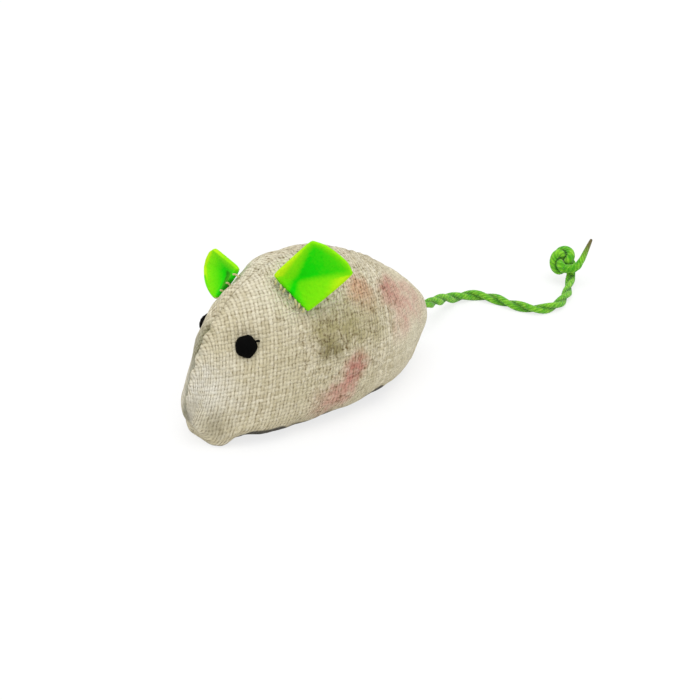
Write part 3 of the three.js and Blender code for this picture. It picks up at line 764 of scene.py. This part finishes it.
# %% Panel shading
# Painted shade: this note darkens the cloth at the crown seam's stitches, on the right panel's strip beside the
# seam on the snout, and round each ear's base.
def fold_shade_note(side):
    def fold(u, v):
        t, i = station(u), round(u * COLUMNS)
        from_crown, snout = down_skin[i, round(v * ROWS)], on_snout(t)
        at_seam = bell(from_crown, 1.2)
        at_ear = 0.6 * bell(from_ear_base(skin(t, BASE_EDGE * v, side), EARS[side]), 1.2)
        if side > 0:
            return max(at_ear, (0.2 + 0.3 * snout) * scallop(i) ** 2 * at_seam * clamped(t * LENGTH / 6))
        strip = 0.65 * snout * bell(from_crown, 7, 4)
        gathers = 0.1 + snout * (0.4 + 0.4 * hand_wave(along_crown[i] + 2.4))
        return max(at_ear, min(1, strip + gathers * at_seam))

    return fold


def under_note(side):
    return lambda u, v: -outward(station(u), BASE_EDGE * v, side).z * clamped(station(u) * LENGTH / 5)


print("darkest fold is", round(max(fold_shade_note(-1)(i / COLUMNS, 0) for i in range(COLUMNS)), 2))

# %% Cloth that puffs up
SOLVER_SCALE, STEPS, PRESSURE, GROW, MOST_MOVE, STEADY_TIP = 10, 20, 3, 0.02, 0.7, 6


def pinned_corners(piece, side):
    eye_point, _ = eye_place(side)
    ear = EARS[side]
    bm = bmesh.new()
    bm.from_mesh(piece.data)
    pins = []
    for vert in bm.verts:
        point = vert.co / MM
        at_eye = (point - eye_point).length < 2.6
        at_ear = from_ear_base(point, ear) < 2.2 or (point - ear["pinch"]).length < 4
        if at_eye or at_ear or vert.is_boundary:
            pins.append(vert.index)
    bm.free()
    return pins


def puff_up(piece, pins):
    before = np.array([vert.co for vert in piece.data.vertices])
    piece.data.transform(Matrix.Scale(SOLVER_SCALE, 4))
    sewn = piece.vertex_groups.new(name="sewn")
    sewn.add(pins, 1, "REPLACE")
    puff = piece.modifiers.new("puff", "CLOTH")
    for name, value in (("quality", 6), ("bending_stiffness", 0.4), ("vertex_group_mass", "sewn"),
                        ("use_pressure", True), ("uniform_pressure_force", PRESSURE), ("shrink_min", -GROW)):
        setattr(puff.settings, name, value)
    puff.settings.effector_weights.gravity = 0
    puff.collision_settings.use_collision = False
    puff.point_cache.frame_start, puff.point_cache.frame_end = 1, STEPS
    for step in range(1, STEPS + 1):
        scene.frame_set(step)
    settled = piece.evaluated_get(bpy.context.evaluated_depsgraph_get())
    after = np.array([vert.co for vert in settled.data.vertices]) / SOLVER_SCALE
    piece.modifiers.remove(puff)
    piece.vertex_groups.remove(sewn)
    scene.frame_set(1)
    move = after - before
    from_tip = np.linalg.norm(before - np.array(form(0, 0, 1)) * MM, axis=1, keepdims=True) / MM
    move *= 1 - np.exp(-((from_tip / STEADY_TIP) ** 2))
    far = np.linalg.norm(move, axis=1, keepdims=True)
    move *= np.minimum(1, MOST_MOVE * MM / np.maximum(far, 1e-9))
    piece.data.vertices.foreach_set("co", (before + move).ravel())
    piece.data.update()
    return round(float(np.linalg.norm(move, axis=1).mean() / MM), 3)


print("the cloth may move by", MOST_MOVE, "mm")

# %% Side panels
YARN_SLANT, YARN_TILT, MIDDLE_ROW, PANEL_CLOTH = 0.28, 0.1, ROWS * 5 // 9, 1
# Yarns between the pieces in the weave, so that no two show the same stretch of it.
SIDE_SHIFT, BASE_SHIFT = 40, 90


def lie_on_side(side):
    def lie(u, v):
        i, j = round(u * COLUMNS), round(v * ROWS)
        along, up = along_skin[i, j], down_skin[i, MIDDLE_ROW] - down_skin[i, j]
        return (along - YARN_SLANT * up) / YARN, (up + YARN_TILT * along) / YARN + SIDE_SHIFT * side

    return lie


for side, word in SIDES.items():
    bm = shaped_grid(COLUMNS, ROWS, panel_rule(side), lie_on_side(side),
                     fold=fold_shade_note(side), under=under_note(side))
    weld(bm, WELD_ENDS)
    piece = piece_from(bm, f"{word}_body_cloth", cloth)
    print(word, "panel moved by", puff_up(piece, pinned_corners(piece, side)), "mm on average")
    refine(piece)
    thicken(piece, PANEL_CLOTH)
    join_frame(piece, f"{word}_side_panel")
print("side panels made")

# %% [markdown]
# ## Base panel
#
# The bottom is a long leaf of the same cloth, flat where the toy stands and turned up at the chin and the
# heel. It could be cut out of a plane, but spanning it from hem to hem closes the seams exactly, however the
# side panels bulge. It ends where the two hems come together at the rump.

# %% Base panel
hems = {side: [panel_rule(side)(i / COLUMNS, 1) for i in range(COLUMNS + 1)] for side in SIDES}
FIRST, LAST = 1, max(i for i in range(COLUMNS) if hems[1][i].x > 1.2)


def base_rule(u, v):
    i = FIRST + round(u * (LAST - FIRST))
    return hems[-1][i].lerp(hems[1][i], v) + Vector((0, 0, 0.05))


def base_lie(u, v):
    point = base_rule(u, v)
    return point.y / YARN, point.x / YARN + BASE_SHIFT


base_piece = piece_from(shaped_grid(LAST - FIRST, 14, base_rule, base_lie), "base_body_cloth", cloth)
face_towards(base_piece, Vector((0, 0, -1)))
thicken(base_piece, PANEL_CLOTH)
refine(base_piece)
join_frame(base_piece, "base_panel")
print("base panel runs from", round(hems[1][FIRST].y, 1), "to", round(hems[1][LAST].y, 1), "mm")

# %% [markdown]
# ## Threads and cords
#
# A thread is a grid rolled into a tube along a route. The tube needs a steady frame along the route, or it
# would twist at every bend: each frame is the last one, turned as little as the bend asks for.

# %% Routes
def smooth_route(points, per_span):
    points = [Vector(p) for p in points]
    longer = [points[0] * 2 - points[1]] + points + [points[-1] * 2 - points[-2]]
    route = []
    for a, b, c, d in zip(longer, longer[1:], longer[2:], longer[3:]):
        for k in range(per_span):
            t = k / per_span
            route.append(((b * 2) + (c - a) * t + (a * 2 - b * 5 + c * 4 - d) * t * t
                          + (b * 3 - a - c * 3 + d) * t ** 3) * 0.5)
    return route + [points[-1]]


def even_route(points, spacing):
    gone = [0]
    for a, b in zip(points, points[1:]):
        gone.append(gone[-1] + (b - a).length)
    count = max(2, round(gone[-1] / spacing))
    marks = np.linspace(0, gone[-1], count + 1)
    axes = [np.interp(marks, gone, [p[k] for p in points]) for k in range(3)]
    return [Vector(p) for p in zip(*axes)], gone[-1]


print("routes ready")

# %% Tubes along a route
FIBRE_TWIST = 0.1


def frames_along(points):
    frames, across = [], None
    for k, point in enumerate(points):
        ahead = (points[min(k + 1, len(points) - 1)] - points[max(k - 1, 0)]).normalized()
        if across is None:
            across = ahead.orthogonal()
        across = (across - ahead * across.dot(ahead)).normalized()
        frames.append((point, across, ahead.cross(across)))
    return frames


def tube(points, radius, sides, twist=0, deep=None, wound=None, length=None):
    frames = frames_along(points)
    count = len(points) - 1
    length = length or count * (points[1] - points[0]).length

    def place(u, v):
        share = round(u * count) / count
        point, across, lift = frames[round(u * count)]
        start, shift = wound(share) if wound else (0, 0)

        def way(turn):
            return across * cos(turn) + lift * sin(turn)

        girth = radius(share) if callable(radius) else radius
        return point + way(start) * shift + way(start + tau * v) * girth

    # A deep note, where given, carries painted shade to the finish.
    notes = {"deep": lambda u, v: deep(place(u, v), round(u * count), v)} if deep else {}
    bm = shaped_grid(count, sides, place, lambda u, v: (u * length, v + u * length * twist), **notes)
    weld(bm)
    close(bm, sides + 2)
    return bm


print("tubes ready")

# %% [markdown]
# ## Twisted tail cord
#
# The tail is two fat green yarns laid round each other, a right-handed twist of one turn in seventeen
# millimetres. Each yarn is a tube along its own helix, so the notches between them are real and show on the
# outline. The route starts at the rump, dips to the floor and ends at the knot.

# %% Tail route
RUMP = LENGTH / 2
PIVOT = Vector((0, RUMP + 1.8, TAIL_HEIGHT))
# Across, back from the rump and up.
TAIL_ROUTE = [(0, 3.4, 13), (0, 5.2, 11.4), (0, 7.4, 10), (0.1, 9.8, 9.1), (-0.2, 12.4, 8.6),
              (-2, 17.2, 6.8), (-3.9, 22.9, 5), (-5, 28.2, 3.1), (-4.9, 32.8, 1.9), (-3.6, 36.6, 1.6),
              (-0.6, 39, 1.6), (3.6, 40.4, 1.6), (8.6, 41.2, 1.6), (13.2, 42.2, 1.6), (17.2, 44, 1.6),
              (19.8, 46.8, 1.6), (20.8, 50.6, 1.6), (20.2, 55, 1.6), (18.5, 59.4, 1.6), (16.2, 63.6, 1.6)]
KNOT_ACROSS, KNOT_BACK, KNOT_LEAD_HEIGHT = 8.6, 69.4, 3.1
KNOT_ROLL, KNOT_TILT, KNOT_TURN, TIP_TURN = (radians(angle) for angle in (-45, 40, 45, 55))
KNOT_RADIUS, KNOT_LOBE, KNOT_RISE, KNOT_OPENING = 2.643, 1.2, 1.4, 0.35
KNOT_STEPS, KNOT_LEAD, TIP_BEND, TIP_LENGTH, TIP_RISE = 60, 4.6, 4.5, 9.5, Vector((0, 0, 1.5))
PULL, PULL_SHARE = Vector((0.702, 0.712, 0)), 0.25
STRETCH, STRETCH_SHARE = Vector((-0.346, 0.341, 0.874)), 0.12


def knot_route():
    def trefoil(s):
        r = KNOT_RADIUS + KNOT_LOBE * cos(3 * s)
        return Vector((r * cos(2 * s), r * sin(2 * s), -KNOT_RISE * sin(3 * s)))

    def pulled_tight(p):
        return (p - PULL * (PULL_SHARE * min(0, p.dot(PULL)))
                + STRETCH * (STRETCH_SHARE * max(0, p.dot(STRETCH))))

    open_turn = tau - 2 * KNOT_OPENING
    loop = [trefoil(KNOT_OPENING + open_turn * k / KNOT_STEPS) for k in range(KNOT_STEPS + 1)]
    slant = 2 * KNOT_OPENING
    inward = Vector((-sin(slant), cos(slant), 0))
    away = Vector((sin(slant), cos(slant), 0))
    lead = [loop[0] - inward * KNOT_LEAD, loop[0] - inward * (KNOT_LEAD / 2)]
    bend = loop[-1] + away * TIP_BEND + TIP_RISE
    tip = [bend, bend + Matrix.Rotation(TIP_TURN, 3, "Z") @ away * TIP_LENGTH + TIP_RISE]
    pose = (Matrix.Rotation(KNOT_TURN, 3, "Z") @ Matrix.Rotation(KNOT_TILT, 3, "X")
            @ Matrix.Rotation(KNOT_ROLL, 3, "Z"))
    posed = [pose @ p for p in lead + loop + tip]
    centre = Vector((KNOT_ACROSS, RUMP + KNOT_BACK, KNOT_LEAD_HEIGHT - posed[0].z))
    return [pulled_tight(p) + centre for p in posed]


knot_points = knot_route()
tail_route = [PIVOT] + [Vector((x, RUMP + back, up)) for x, back, up in TAIL_ROUTE] + knot_points[:2]
cord_points, cord_length = even_route(smooth_route(tail_route, 8), 0.5)
print("tail cord is", round(cord_length, 1), "mm long")

# %% Tail cord
STRAND_RADIUS, LAY_RADIUS, PITCH = 1.18, 0.72, 17
THIN_ROOT, THICK_AFTER, THINS_BY = 0.54, 17, 0.15


def cord_finish(name, roughness, sheen, along_lay, round_lay, grain, dark, light, shade):
    finish = Finish(name, roughness, sheen=sheen)
    along, round_it, _ = finish.axes(finish.lie())
    lay = along * along_lay + round_it * round_lay
    ply = finish.calc("SINE", lay * tau) * 0.5 + 0.5
    mottle = finish.ramp(finish.clouds(finish.place(), grain, 3), 0.3, 0.7)
    # Painted shade: the colour darkens in the groove of the lay between the plies.
    colour = finish.blend((1 - ply) * 0.4, finish.blend(mottle, dark, light), shade)
    finish.bump(ply, 0.0003)
    return finish, along, colour


tail_green, _, cord_mix = cord_finish("tail_green", 0.8, 0.25, 0.35, 7, 700,
                                      srgb(98, 194, 28), srgb(160, 232, 60), srgb(52, 142, 18))
# Painted shade: each strand is darker on its inner side, where it lies against the other strand.
tail_green.colour(tail_green.blend(tail_green.noted("deep"), cord_mix, srgb(18, 84, 10)))


def slim(share):
    return (1 - THINS_BY * share) * (THIN_ROOT + (1 - THIN_ROOT) * clamped(share * cord_length / THICK_AFTER))


def strand(start):
    return tube(cord_points, lambda share: STRAND_RADIUS * slim(share), 14, FIBRE_TWIST,
                lambda point, k, v: max(0, 1 - abs(v - 0.5) / 0.33),
                lambda share: (start + tau * share * cord_length / PITCH, LAY_RADIUS * slim(share)),
                cord_length)


tail_cord = add_piece(gather([strand(0), strand(pi)]), "green_tail_cord", tail_green,
                      "tail_cord", "tail")
print("tail cord has", len(tail_cord.data.polygons), "faces")

# %% [markdown]
# ## Knot and tip
#
# The tail ends in an overhand knot, pulled tight, and the cut end behind it has frayed and browned. At this
# size one fat tube along the knot's route looks much like two plies, and each turn's distance to the others
# tells the finish where to paint the green darker, as shade where the turns tuck under each other.

# %% Tail knot
KNOT_GIRTH, TIP_GIRTH, TIP_END, TIP_SHARE, TIP_SWELL = 1.5, 1.15, 0.4, 9, 3
knot_run, knot_length = even_route(smooth_route(knot_points, 3), 0.4)

knot_green, along, knot_mix = cord_finish("knot_green", 0.85, 0.2, 0.3, 5, 500,
                                          srgb(84, 188, 22), srgb(150, 226, 52), srgb(38, 128, 16))
browned = knot_green.ramp(along, knot_length - TIP_SHARE, knot_length - 0.5)
knot_mix = knot_green.blend(browned, knot_mix, srgb(118, 104, 58))
# Painted shade: the knot is darker where its turns tuck under each other.
knot_green.colour(knot_green.blend(knot_green.noted("deep"), knot_mix, srgb(12, 84, 8)))


def knot_girth(share):
    left = (1 - share) * knot_length
    tip = TIP_END + (TIP_GIRTH - TIP_END) * (min(left, TIP_SHARE) / TIP_SHARE) ** 0.7
    return tip + (KNOT_GIRTH - tip) * clamped((left - TIP_SHARE) / TIP_SWELL)


def tuck_shade(point, k, _):
    reach = min((point - other).length - knot_girth(j / (len(knot_run) - 1))
                for j, other in enumerate(knot_run) if abs(j - k) > 9)
    return clamped(0.9 - reach / 0.8)


tail_knot = add_piece(tube(knot_run, knot_girth, 14, FIBRE_TWIST, tuck_shade), "green_tail_knot", knot_green,
                      "tail_knot", "tail")
print("knot cord is", round(knot_length, 1), "mm long")

# %% [markdown]
# ## Where the tail is held
#
# The cord goes through the rump seam to a knot inside, and bends just outside the cloth. That short bend is a
# piece of its own, because it turns with the tail's swing but not with its lift.

# %% Tail root and anchor
ROOT_RADIUS, ROOT_FROM, ROOT_TO = 1.15, -0.6, 3.2
ANCHOR, ANCHOR_RADIUS = Vector((0, RUMP - 4.8, TAIL_HEIGHT)), 3.3


def root_girth(share):
    return ROOT_RADIUS * sqrt(max(0.02, 1 - (2 * share - 1) ** 4))


def anchor_rule(way):
    ball = way * ANCHOR_RADIUS
    ridge = sin(ball.z * 2.2 + ball.x)
    return ball * (1 + 0.05 * ridge) + ANCHOR


root_points, _ = even_route([Vector((0, RUMP + back, TAIL_HEIGHT)) for back in (ROOT_FROM, ROOT_TO)], 0.3)
add_piece(tube(root_points, root_girth, 12, FIBRE_TWIST), "green_tail_root", tail_green,
          "tail_root", "tail_root")
add_piece(shaped_ball(3, anchor_rule), "green_tail_anchor", tail_green, "tail_anchor_knot")
print("tail root and anchor made")

# %% [markdown]
# ## Felt ears
#
# Each ear is one flap of green felt, sewn along a straight base and pinched at its middle, so three folds run
# from the pinch to the base and to the two top corners. A cloth simulation would fold felt where it liked, so
# the rule sets the depth at those few points and fills in flat facets between them, which a little smoothing
# turns into soft creases. A value on each corner and facet paints light and shade into the felt: yellow-green
# where a facet is lit, most along the cut edges, and dark green where it is shaded.

# %% Ear felt
felt = Finish("ear_felt", 0.95, sheen=0.35, specular=0.1)
felt.shader.inputs["Sheen Tint"].default_value = srgb(170, 255, 60)
# Painted light and shade: the note lightens lit facets and the cut edges towards yellow-green and yellow, and
# darkens shaded facets to dark green.
lime = felt.noted("lime")
nap = felt.clouds(felt.place(), 900, 4, 0.6)
light_and_nap = felt.calc("ADD", lime, (nap - 0.5) * 0.35, clamp=True)
felt_colour = felt.blend(light_and_nap, srgb(18, 222, 3), srgb(140, 238, 12))
felt_colour = felt.blend(felt.ramp(lime, 0.85, 1), felt_colour, srgb(190, 244, 20))
felt.colour(felt.blend(felt.ramp(lime, -0.6, 0, 1, 0), felt_colour, srgb(14, 150, 8)))
felt.bump(nap, 0.0004)
print("ear felt ready")

# %% Ear folds
# A and B end the base, C and D are the top corners, M is the pinch and N the fold's foot, each with its place
# along the base, up the flap and behind it.
# The per-facet and per-corner values paint light above zero and shade below zero on the felt.
NEAR_EAR = {"A": (-6.5, 0, 0), "B": (6.8, -0.4, 0), "C": (-6.1, 15, 0), "D": (7.8, 16.9, 0),
            "M": (-1.3, 2.9, 3), "N": (0, 0, 1), "top_bulge": 0.9, "side_bulge": 0.2,
            "facet_light": (0.15, 0.36, -0.4, 0.35, 0),
            "corner_light": {"A": 0.75, "B": 0.4, "C": 0.5, "D": 0.75, "M": 0.2, "N": 0.1}}
FAR_EAR = {"A": (-7.4, 0.2, 0.6), "B": (5.2, -0.6, 0), "C": (-0.9, 12.6, 0), "D": (4.6, 11.2, 0),
           "M": (-1.5, 3.5, 2.5), "N": (-0.8, 0, 0.8), "top_bulge": 0.3, "side_bulge": 1.3,
           "facet_light": (-0.2, 0.2, 0.25, 0.25, -0.2),
           "corner_light": {"A": 0.6, "B": 0.35, "C": 0.8, "D": 0.85, "M": -0.5, "N": -0.5}}
FACETS = (("A", "N", "M"), ("A", "M", "C"), ("C", "M", "D"), ("D", "M", "B"), ("B", "M", "N"))
FELT, EDGE_LIGHT, EDGE_WIDTH, CREASE_SHADE, CREASE_WIDTH = 1.3, 0.9, 0.16, 0.35, 0.8


def depth_and_light(flap, spot):
    found, weights, ear_lights = None, 0, 0
    for names, extra in zip(FACETS, flap["facet_light"]):
        a, b, c = (Vector(flap[k]) for k in names)
        whole = (b.x - a.x) * (c.y - a.y) - (c.x - a.x) * (b.y - a.y)
        wb = ((spot.x - a.x) * (c.y - a.y) - (c.x - a.x) * (spot.y - a.y)) / whole
        wc = ((b.x - a.x) * (spot.y - a.y) - (spot.x - a.x) * (b.y - a.y)) / whole
        shares = (1 - wb - wc, wb, wc)
        inside = min(shares)
        if found is None or inside > found[0]:
            found = (inside, sum(p.z * w for p, w in zip((a, b, c), shares)))
        weight = clamped(0.5 + 6 * inside)
        lime = sum(flap["corner_light"][k] * w for k, w in zip(names, shares))
        weights, ear_lights = weights + weight, ear_lights + weight * (lime + extra)
    pinch, foot = Vector(flap["M"][:2]), Vector(flap["N"][:2])
    share = clamped((spot - foot).dot(pinch - foot) / (pinch - foot).length_squared)
    crease = CREASE_SHADE * bell((spot - foot.lerp(pinch, share)).length, CREASE_WIDTH)
    return found[1], ear_lights / max(weights, 1e-6) - crease


print("near ear is pinched", round(depth_and_light(NEAR_EAR, Vector(NEAR_EAR["M"][:2]))[0], 1), "mm deep")


# %% Ears
def make_ear(name, side, flap, node):
    ear = EARS[side]
    a, b, c, d = (Vector(flap[k][:2]) for k in "ABCD")

    def on_flap(u, v):
        low, high = a.lerp(b, u), c.lerp(d, u)
        spot = low.lerp(high, v)
        spot += (high - low).normalized() * flap["top_bulge"] * 4 * u * (1 - u) * v
        spot += (b - a).normalized() * flap["side_bulge"] * 4 * v * (1 - v) * max(0, 2 * u - 1)
        round_off = 0.09 * max(0, abs(2 * u - 1) - 0.55) * max(0, v - 0.6) / 0.18
        return spot.lerp(low.lerp(high, 0.5), round_off)

    def rule(u, v):
        spot = on_flap(u, v)
        depth, _ = depth_and_light(flap, spot)
        return ear["hinge"] + ear["along"] * spot.x + ear["up"] * (spot.y + 0.3) - ear["facing"] * depth

    def ear_light_note(u, v):
        _, lime = depth_and_light(flap, on_flap(u, v))
        return max(lime, EDGE_LIGHT - min(u, 1 - u, 1 - v) / EDGE_WIDTH)

    bm = shaped_grid(20, 22, rule, lime=ear_light_note)
    inner = [vert for vert in bm.verts if not vert.is_boundary]
    for _ in range(2):
        bmesh.ops.smooth_vert(bm, verts=inner, factor=0.5, use_axis_x=True, use_axis_y=True, use_axis_z=True)
    piece = piece_from(bm, name, felt)
    face_towards(piece, ear["facing"])
    thicken(piece, FELT)
    refine(piece)
    join_frame(piece, node, node)


make_ear("left_ear_felt", 1, NEAR_EAR, "left_ear")
make_ear("right_ear_felt", -1, FAR_EAR, "right_ear")
print("ears made")

# %% [markdown]
# ## Thread eyes
#
# An eye is a black thread knot: a lumpy cushion of thread, wound over and over, with a stem through the cloth
# and a stop behind it. Winding real thread would take thousands of faces to show a black spot, so a ball is
# pushed into five soft corners and rippled, and only the cut end that sticks out is a thread.

# %% Eyes
EYE_GIRTH, EYE_RISE, EYE_BACK, EYE_SUNK = 3.05, {1: 2.9, -1: 2.6}, 1, 0.9

eye_black = grained("eye_black", 0.9, 1500, 2, 0.5, srgb(4, 4, 4), srgb(12, 11, 11), 0.0003, specular=0.04)


def make_eye(name, side, node):
    spot, normal = eye_place(side)
    level = Vector((0, 0, 1)).cross(normal).normalized()
    upright = normal.cross(level)
    spot = spot - normal * EYE_SUNK

    def at(a, b, c):
        return spot + level * a + upright * b + normal * c

    def cushion(way):
        five_sided = 1 + 0.04 * cos(5 * atan2(way.y, way.x) + 0.6)
        girth = EYE_GIRTH * five_sided * (1 + 0.03 * noise.noise(way * 3))
        wound = 0.06 * sin(way.x * 19 + way.y * 4) + 0.06 * sin(way.y * 17 - way.x * 9)
        rise = EYE_RISE[side] if way.z > 0 else EYE_BACK
        return at(way.x * girth, way.y * girth * 1.04, way.z * rise + wound)

    stem = tube([at(0, 0, -0.4 * k) for k in range(13)], 0.75, 10)
    stop = tube([at(0, 0, -3.6 - 0.3 * k) for k in range(5)], 1.6, 12)
    end = tube(smooth_route([at(2.2, 1, 1), at(3, 1.3, 0.9), at(3.7, 1.2, 1.2)], 4), 0.32, 8)
    add_piece(gather([shaped_ball(4, cushion), stem, stop, end]), name, eye_black, node)


for side, word in SIDES.items():
    make_eye(f"{word}_eye_knot", side, f"{word}_eye")
print("eyes made")

# %% [markdown]
# ## Seams and stitches
#
# The crown is sewn over and over, which pulls the cloth into scallops, and its thread lies down in the seam.
# Each ear is held by a few uneven loops over its base. The base threads lie inside, where the hems meet the
# base panel; their dark brown is painted shade, standing for the dark line of shade along the hem. A curve with
# a bevel would do for these, but a rolled grid is a mesh from the start.

# %% Seam threads
THREAD_RADIUS, THREAD_STEP = 0.42, 0.8
CROWN_FROM, CROWN_SPAN, CROWN_STEPS, CROWN_SUNK = 0.06, 0.91, 140, 0.9
BASE_FROM, BASE_IN, BASE_UP = 14, 0.9, 0.75


def thread_finish(name, colour):
    finish = Finish(name, 0.9)
    finish.colour(colour)
    return finish


seam_thread = thread_finish("seam_thread", srgb(186, 174, 146))
# Painted shade: the base thread is dark brown to stand for the shade along the hem.
base_thread = thread_finish("base_thread", srgb(62, 54, 42))

crown_line = []
for k in range(CROWN_STEPS + 1):
    t = station(CROWN_FROM + CROWN_SPAN * k / CROWN_STEPS)
    spot = skin(t, 0, 1, 0, 0) - outward(t, 0.03, 1) * CROWN_SUNK
    crown_line.append(Vector((0, spot.y, spot.z)))
crown_run, crown_length = even_route(crown_line, THREAD_STEP)
add_piece(tube(crown_run, THREAD_RADIUS, 8), "crown_thread", seam_thread, "crown_seam_thread")

for side, word in SIDES.items():
    hem = []
    for before, foot, after in list(zip(hems[side], hems[side][1:], hems[side][2:]))[BASE_FROM:LAST - 2]:
        ahead = after - before
        inside = Vector((0, -ahead.z, ahead.y)).normalized() * BASE_UP - Vector((side * BASE_IN, 0, 0))
        hem.append(foot + inside)
    run, _ = even_route(hem, THREAD_STEP)
    add_piece(tube(run, THREAD_RADIUS, 8), f"{word}_base_thread", base_thread,
              f"{word}_base_seam_thread")

print("seam thread is", round(crown_length, 1), "mm long")

# %% Ear stitches
EAR_LOOPS, HALF_LOOPS, LOOP_SUNK, LOOP_RADIUS = {1: 7, -1: 4}, 5.4, 0.9, 0.3
ear_thread = thread_finish("ear_thread", srgb(204, 196, 142))
for side, word in SIDES.items():
    ear, count, loops = EARS[side], EAR_LOOPS[side], []
    for k in range(count):
        uneven = noise.noise(Vector((k * 1.7, side * 2, 0.5)))
        along_base = -HALF_LOOPS + 2 * HALF_LOOPS * k / (count - 1) + 0.9 * uneven
        foot = ear["hinge"] + ear["along"] * along_base - ear["normal"] * LOOP_SUNK
        bends = ((0.1, 0.7, 0), (0.7, 0.75, 0), (1.1 + 0.5 * uneven, 0.4, 0.3 + uneven),
                 (1.2 + 0.6 * uneven, -0.6, 0.4 + uneven))
        route = [foot + ear["facing"] * (side * out) + ear["normal"] * rise + ear["along"] * along
                 for out, rise, along in bends]
        loops.append(tube(smooth_route(route, 4), LOOP_RADIUS, 8))
    add_piece(gather(loops), f"{word}_ear_thread", ear_thread, f"{word}_ear_stitches")
print("ears are sewn with", sum(EAR_LOOPS.values()), "loops")

# %% [markdown]
# ## Stuffing
#
# The body is filled with two wads of fibre, packed round a sachet. None of it shows, but a part that is taken
# apart or cut open in a picture needs it. The wads are the body's own form, a little smaller, cut in two by a
# plane, which is simpler than sculpting and can't come out through the cloth.

# %% Fibre wads
FIBRE_INSET, FIBRE_TUCK, BEYOND = 2.4, 3, 60

fibre_white = grained("fibre_white", 1, 400, 5, 0.65, srgb(222, 218, 206), srgb(246, 244, 238), 0.001,
                      sheen=0.3)


def wad_rule(u, v):
    t, turn = station(u), 2 * v
    side, angle = (1, turn * pi) if turn <= 1 else (-1, (2 - turn) * pi)
    point = skin(t, min(angle, BASE_EDGE), side, FIBRE_INSET, 0)
    if angle > BASE_EDGE:
        point.x *= (pi - angle) / (pi - BASE_EDGE)
    return point + nose_tuck(point, FIBRE_TUCK) + Vector((0, 0, 0.25 * noise.noise(point * 0.4)))


def make_wad(name, node, nearest, furthest):
    bm = shaped_grid(64, 48, wad_rule)
    weld(bm, WELD_ENDS)
    for y, keep in ((nearest, 1), (furthest, -1)):
        bmesh.ops.bisect_plane(bm, geom=bm.verts[:] + bm.edges[:] + bm.faces[:], plane_co=(0, y * MM, 0),
                               plane_no=(0, -keep, 0), clear_outer=True)
    close(bm, 0)
    add_piece(bm, name, fibre_white, node)


make_wad("nose_fibre", "nose_stuffing", -BEYOND, 3.8)
make_wad("rump_fibre", "rump_stuffing", 4.2, BEYOND)
print("fibre wads made")

# %% [markdown]
# ## Sachet of herb
#
# The catnip is crumbled leaf, sewn up between two dished halves of muslin. Crumbs could be scattered one by
# one, but hidden as they are, a rough ball stands for them.

# %% Herb sachet
SACHET, SACHET_SIZE, SACHET_GAP, MUSLIN = Vector((0, 4, 20)), (6.6, 16.8, 10.8), 0.3, 0.6
HERB_SIZE, MUSLIN_YARNS = (5, 10.4, 6.6), 60

muslin = Finish("muslin", 0.95)
# Painted shade and highlight: the muslin is darker where its yarns lie low and lighter on their tops; the same
# height gives the bump.
height_and_gap_shade = woven(muslin, muslin.scaled(muslin.lie(), MUSLIN_YARNS), 0.3, 0)["Height"]
muslin.colour(muslin.blend(height_and_gap_shade, srgb(206, 200, 184), srgb(238, 234, 222)))
muslin.bump(height_and_gap_shade, 0.0002)
dry_herb = grained("dry_herb", 0.95, 600, 4, 0.65, srgb(74, 82, 44), srgb(150, 148, 90), 0.0008)

for side, word in SIDES.items():
    def half_sachet(u, v):
        tall, wide = pi * (u - 0.5), pi * (v - 0.5)
        thick, long, high = SACHET_SIZE
        ripple = 0.15 * sin(9 * tall) * cos(wide)
        return SACHET + Vector((
            side * (SACHET_GAP + (thick + ripple) * cos(tall) * cos(wide)),
            long * cos(tall) * sin(wide), high * sin(tall)))

    bm = shaped_grid(40, 40, half_sachet)
    weld(bm)
    piece = piece_from(bm, f"sachet_{word}", muslin)
    face_towards(piece, Vector((side, 0, 0)))
    thicken(piece, MUSLIN)
    join_frame(piece, f"catnip_pouch_{word}")


def herb_rule(way):
    rough = 1 + 0.10 * noise.noise(way * 4) + 0.06 * noise.noise(way * 11)
    return SACHET + Vector([size * along for size, along in zip(HERB_SIZE, way)]) * rough


add_piece(shaped_ball(4, herb_rule), "dried_herb", dry_herb, "dried_catnip")
print("sachet and herb made")
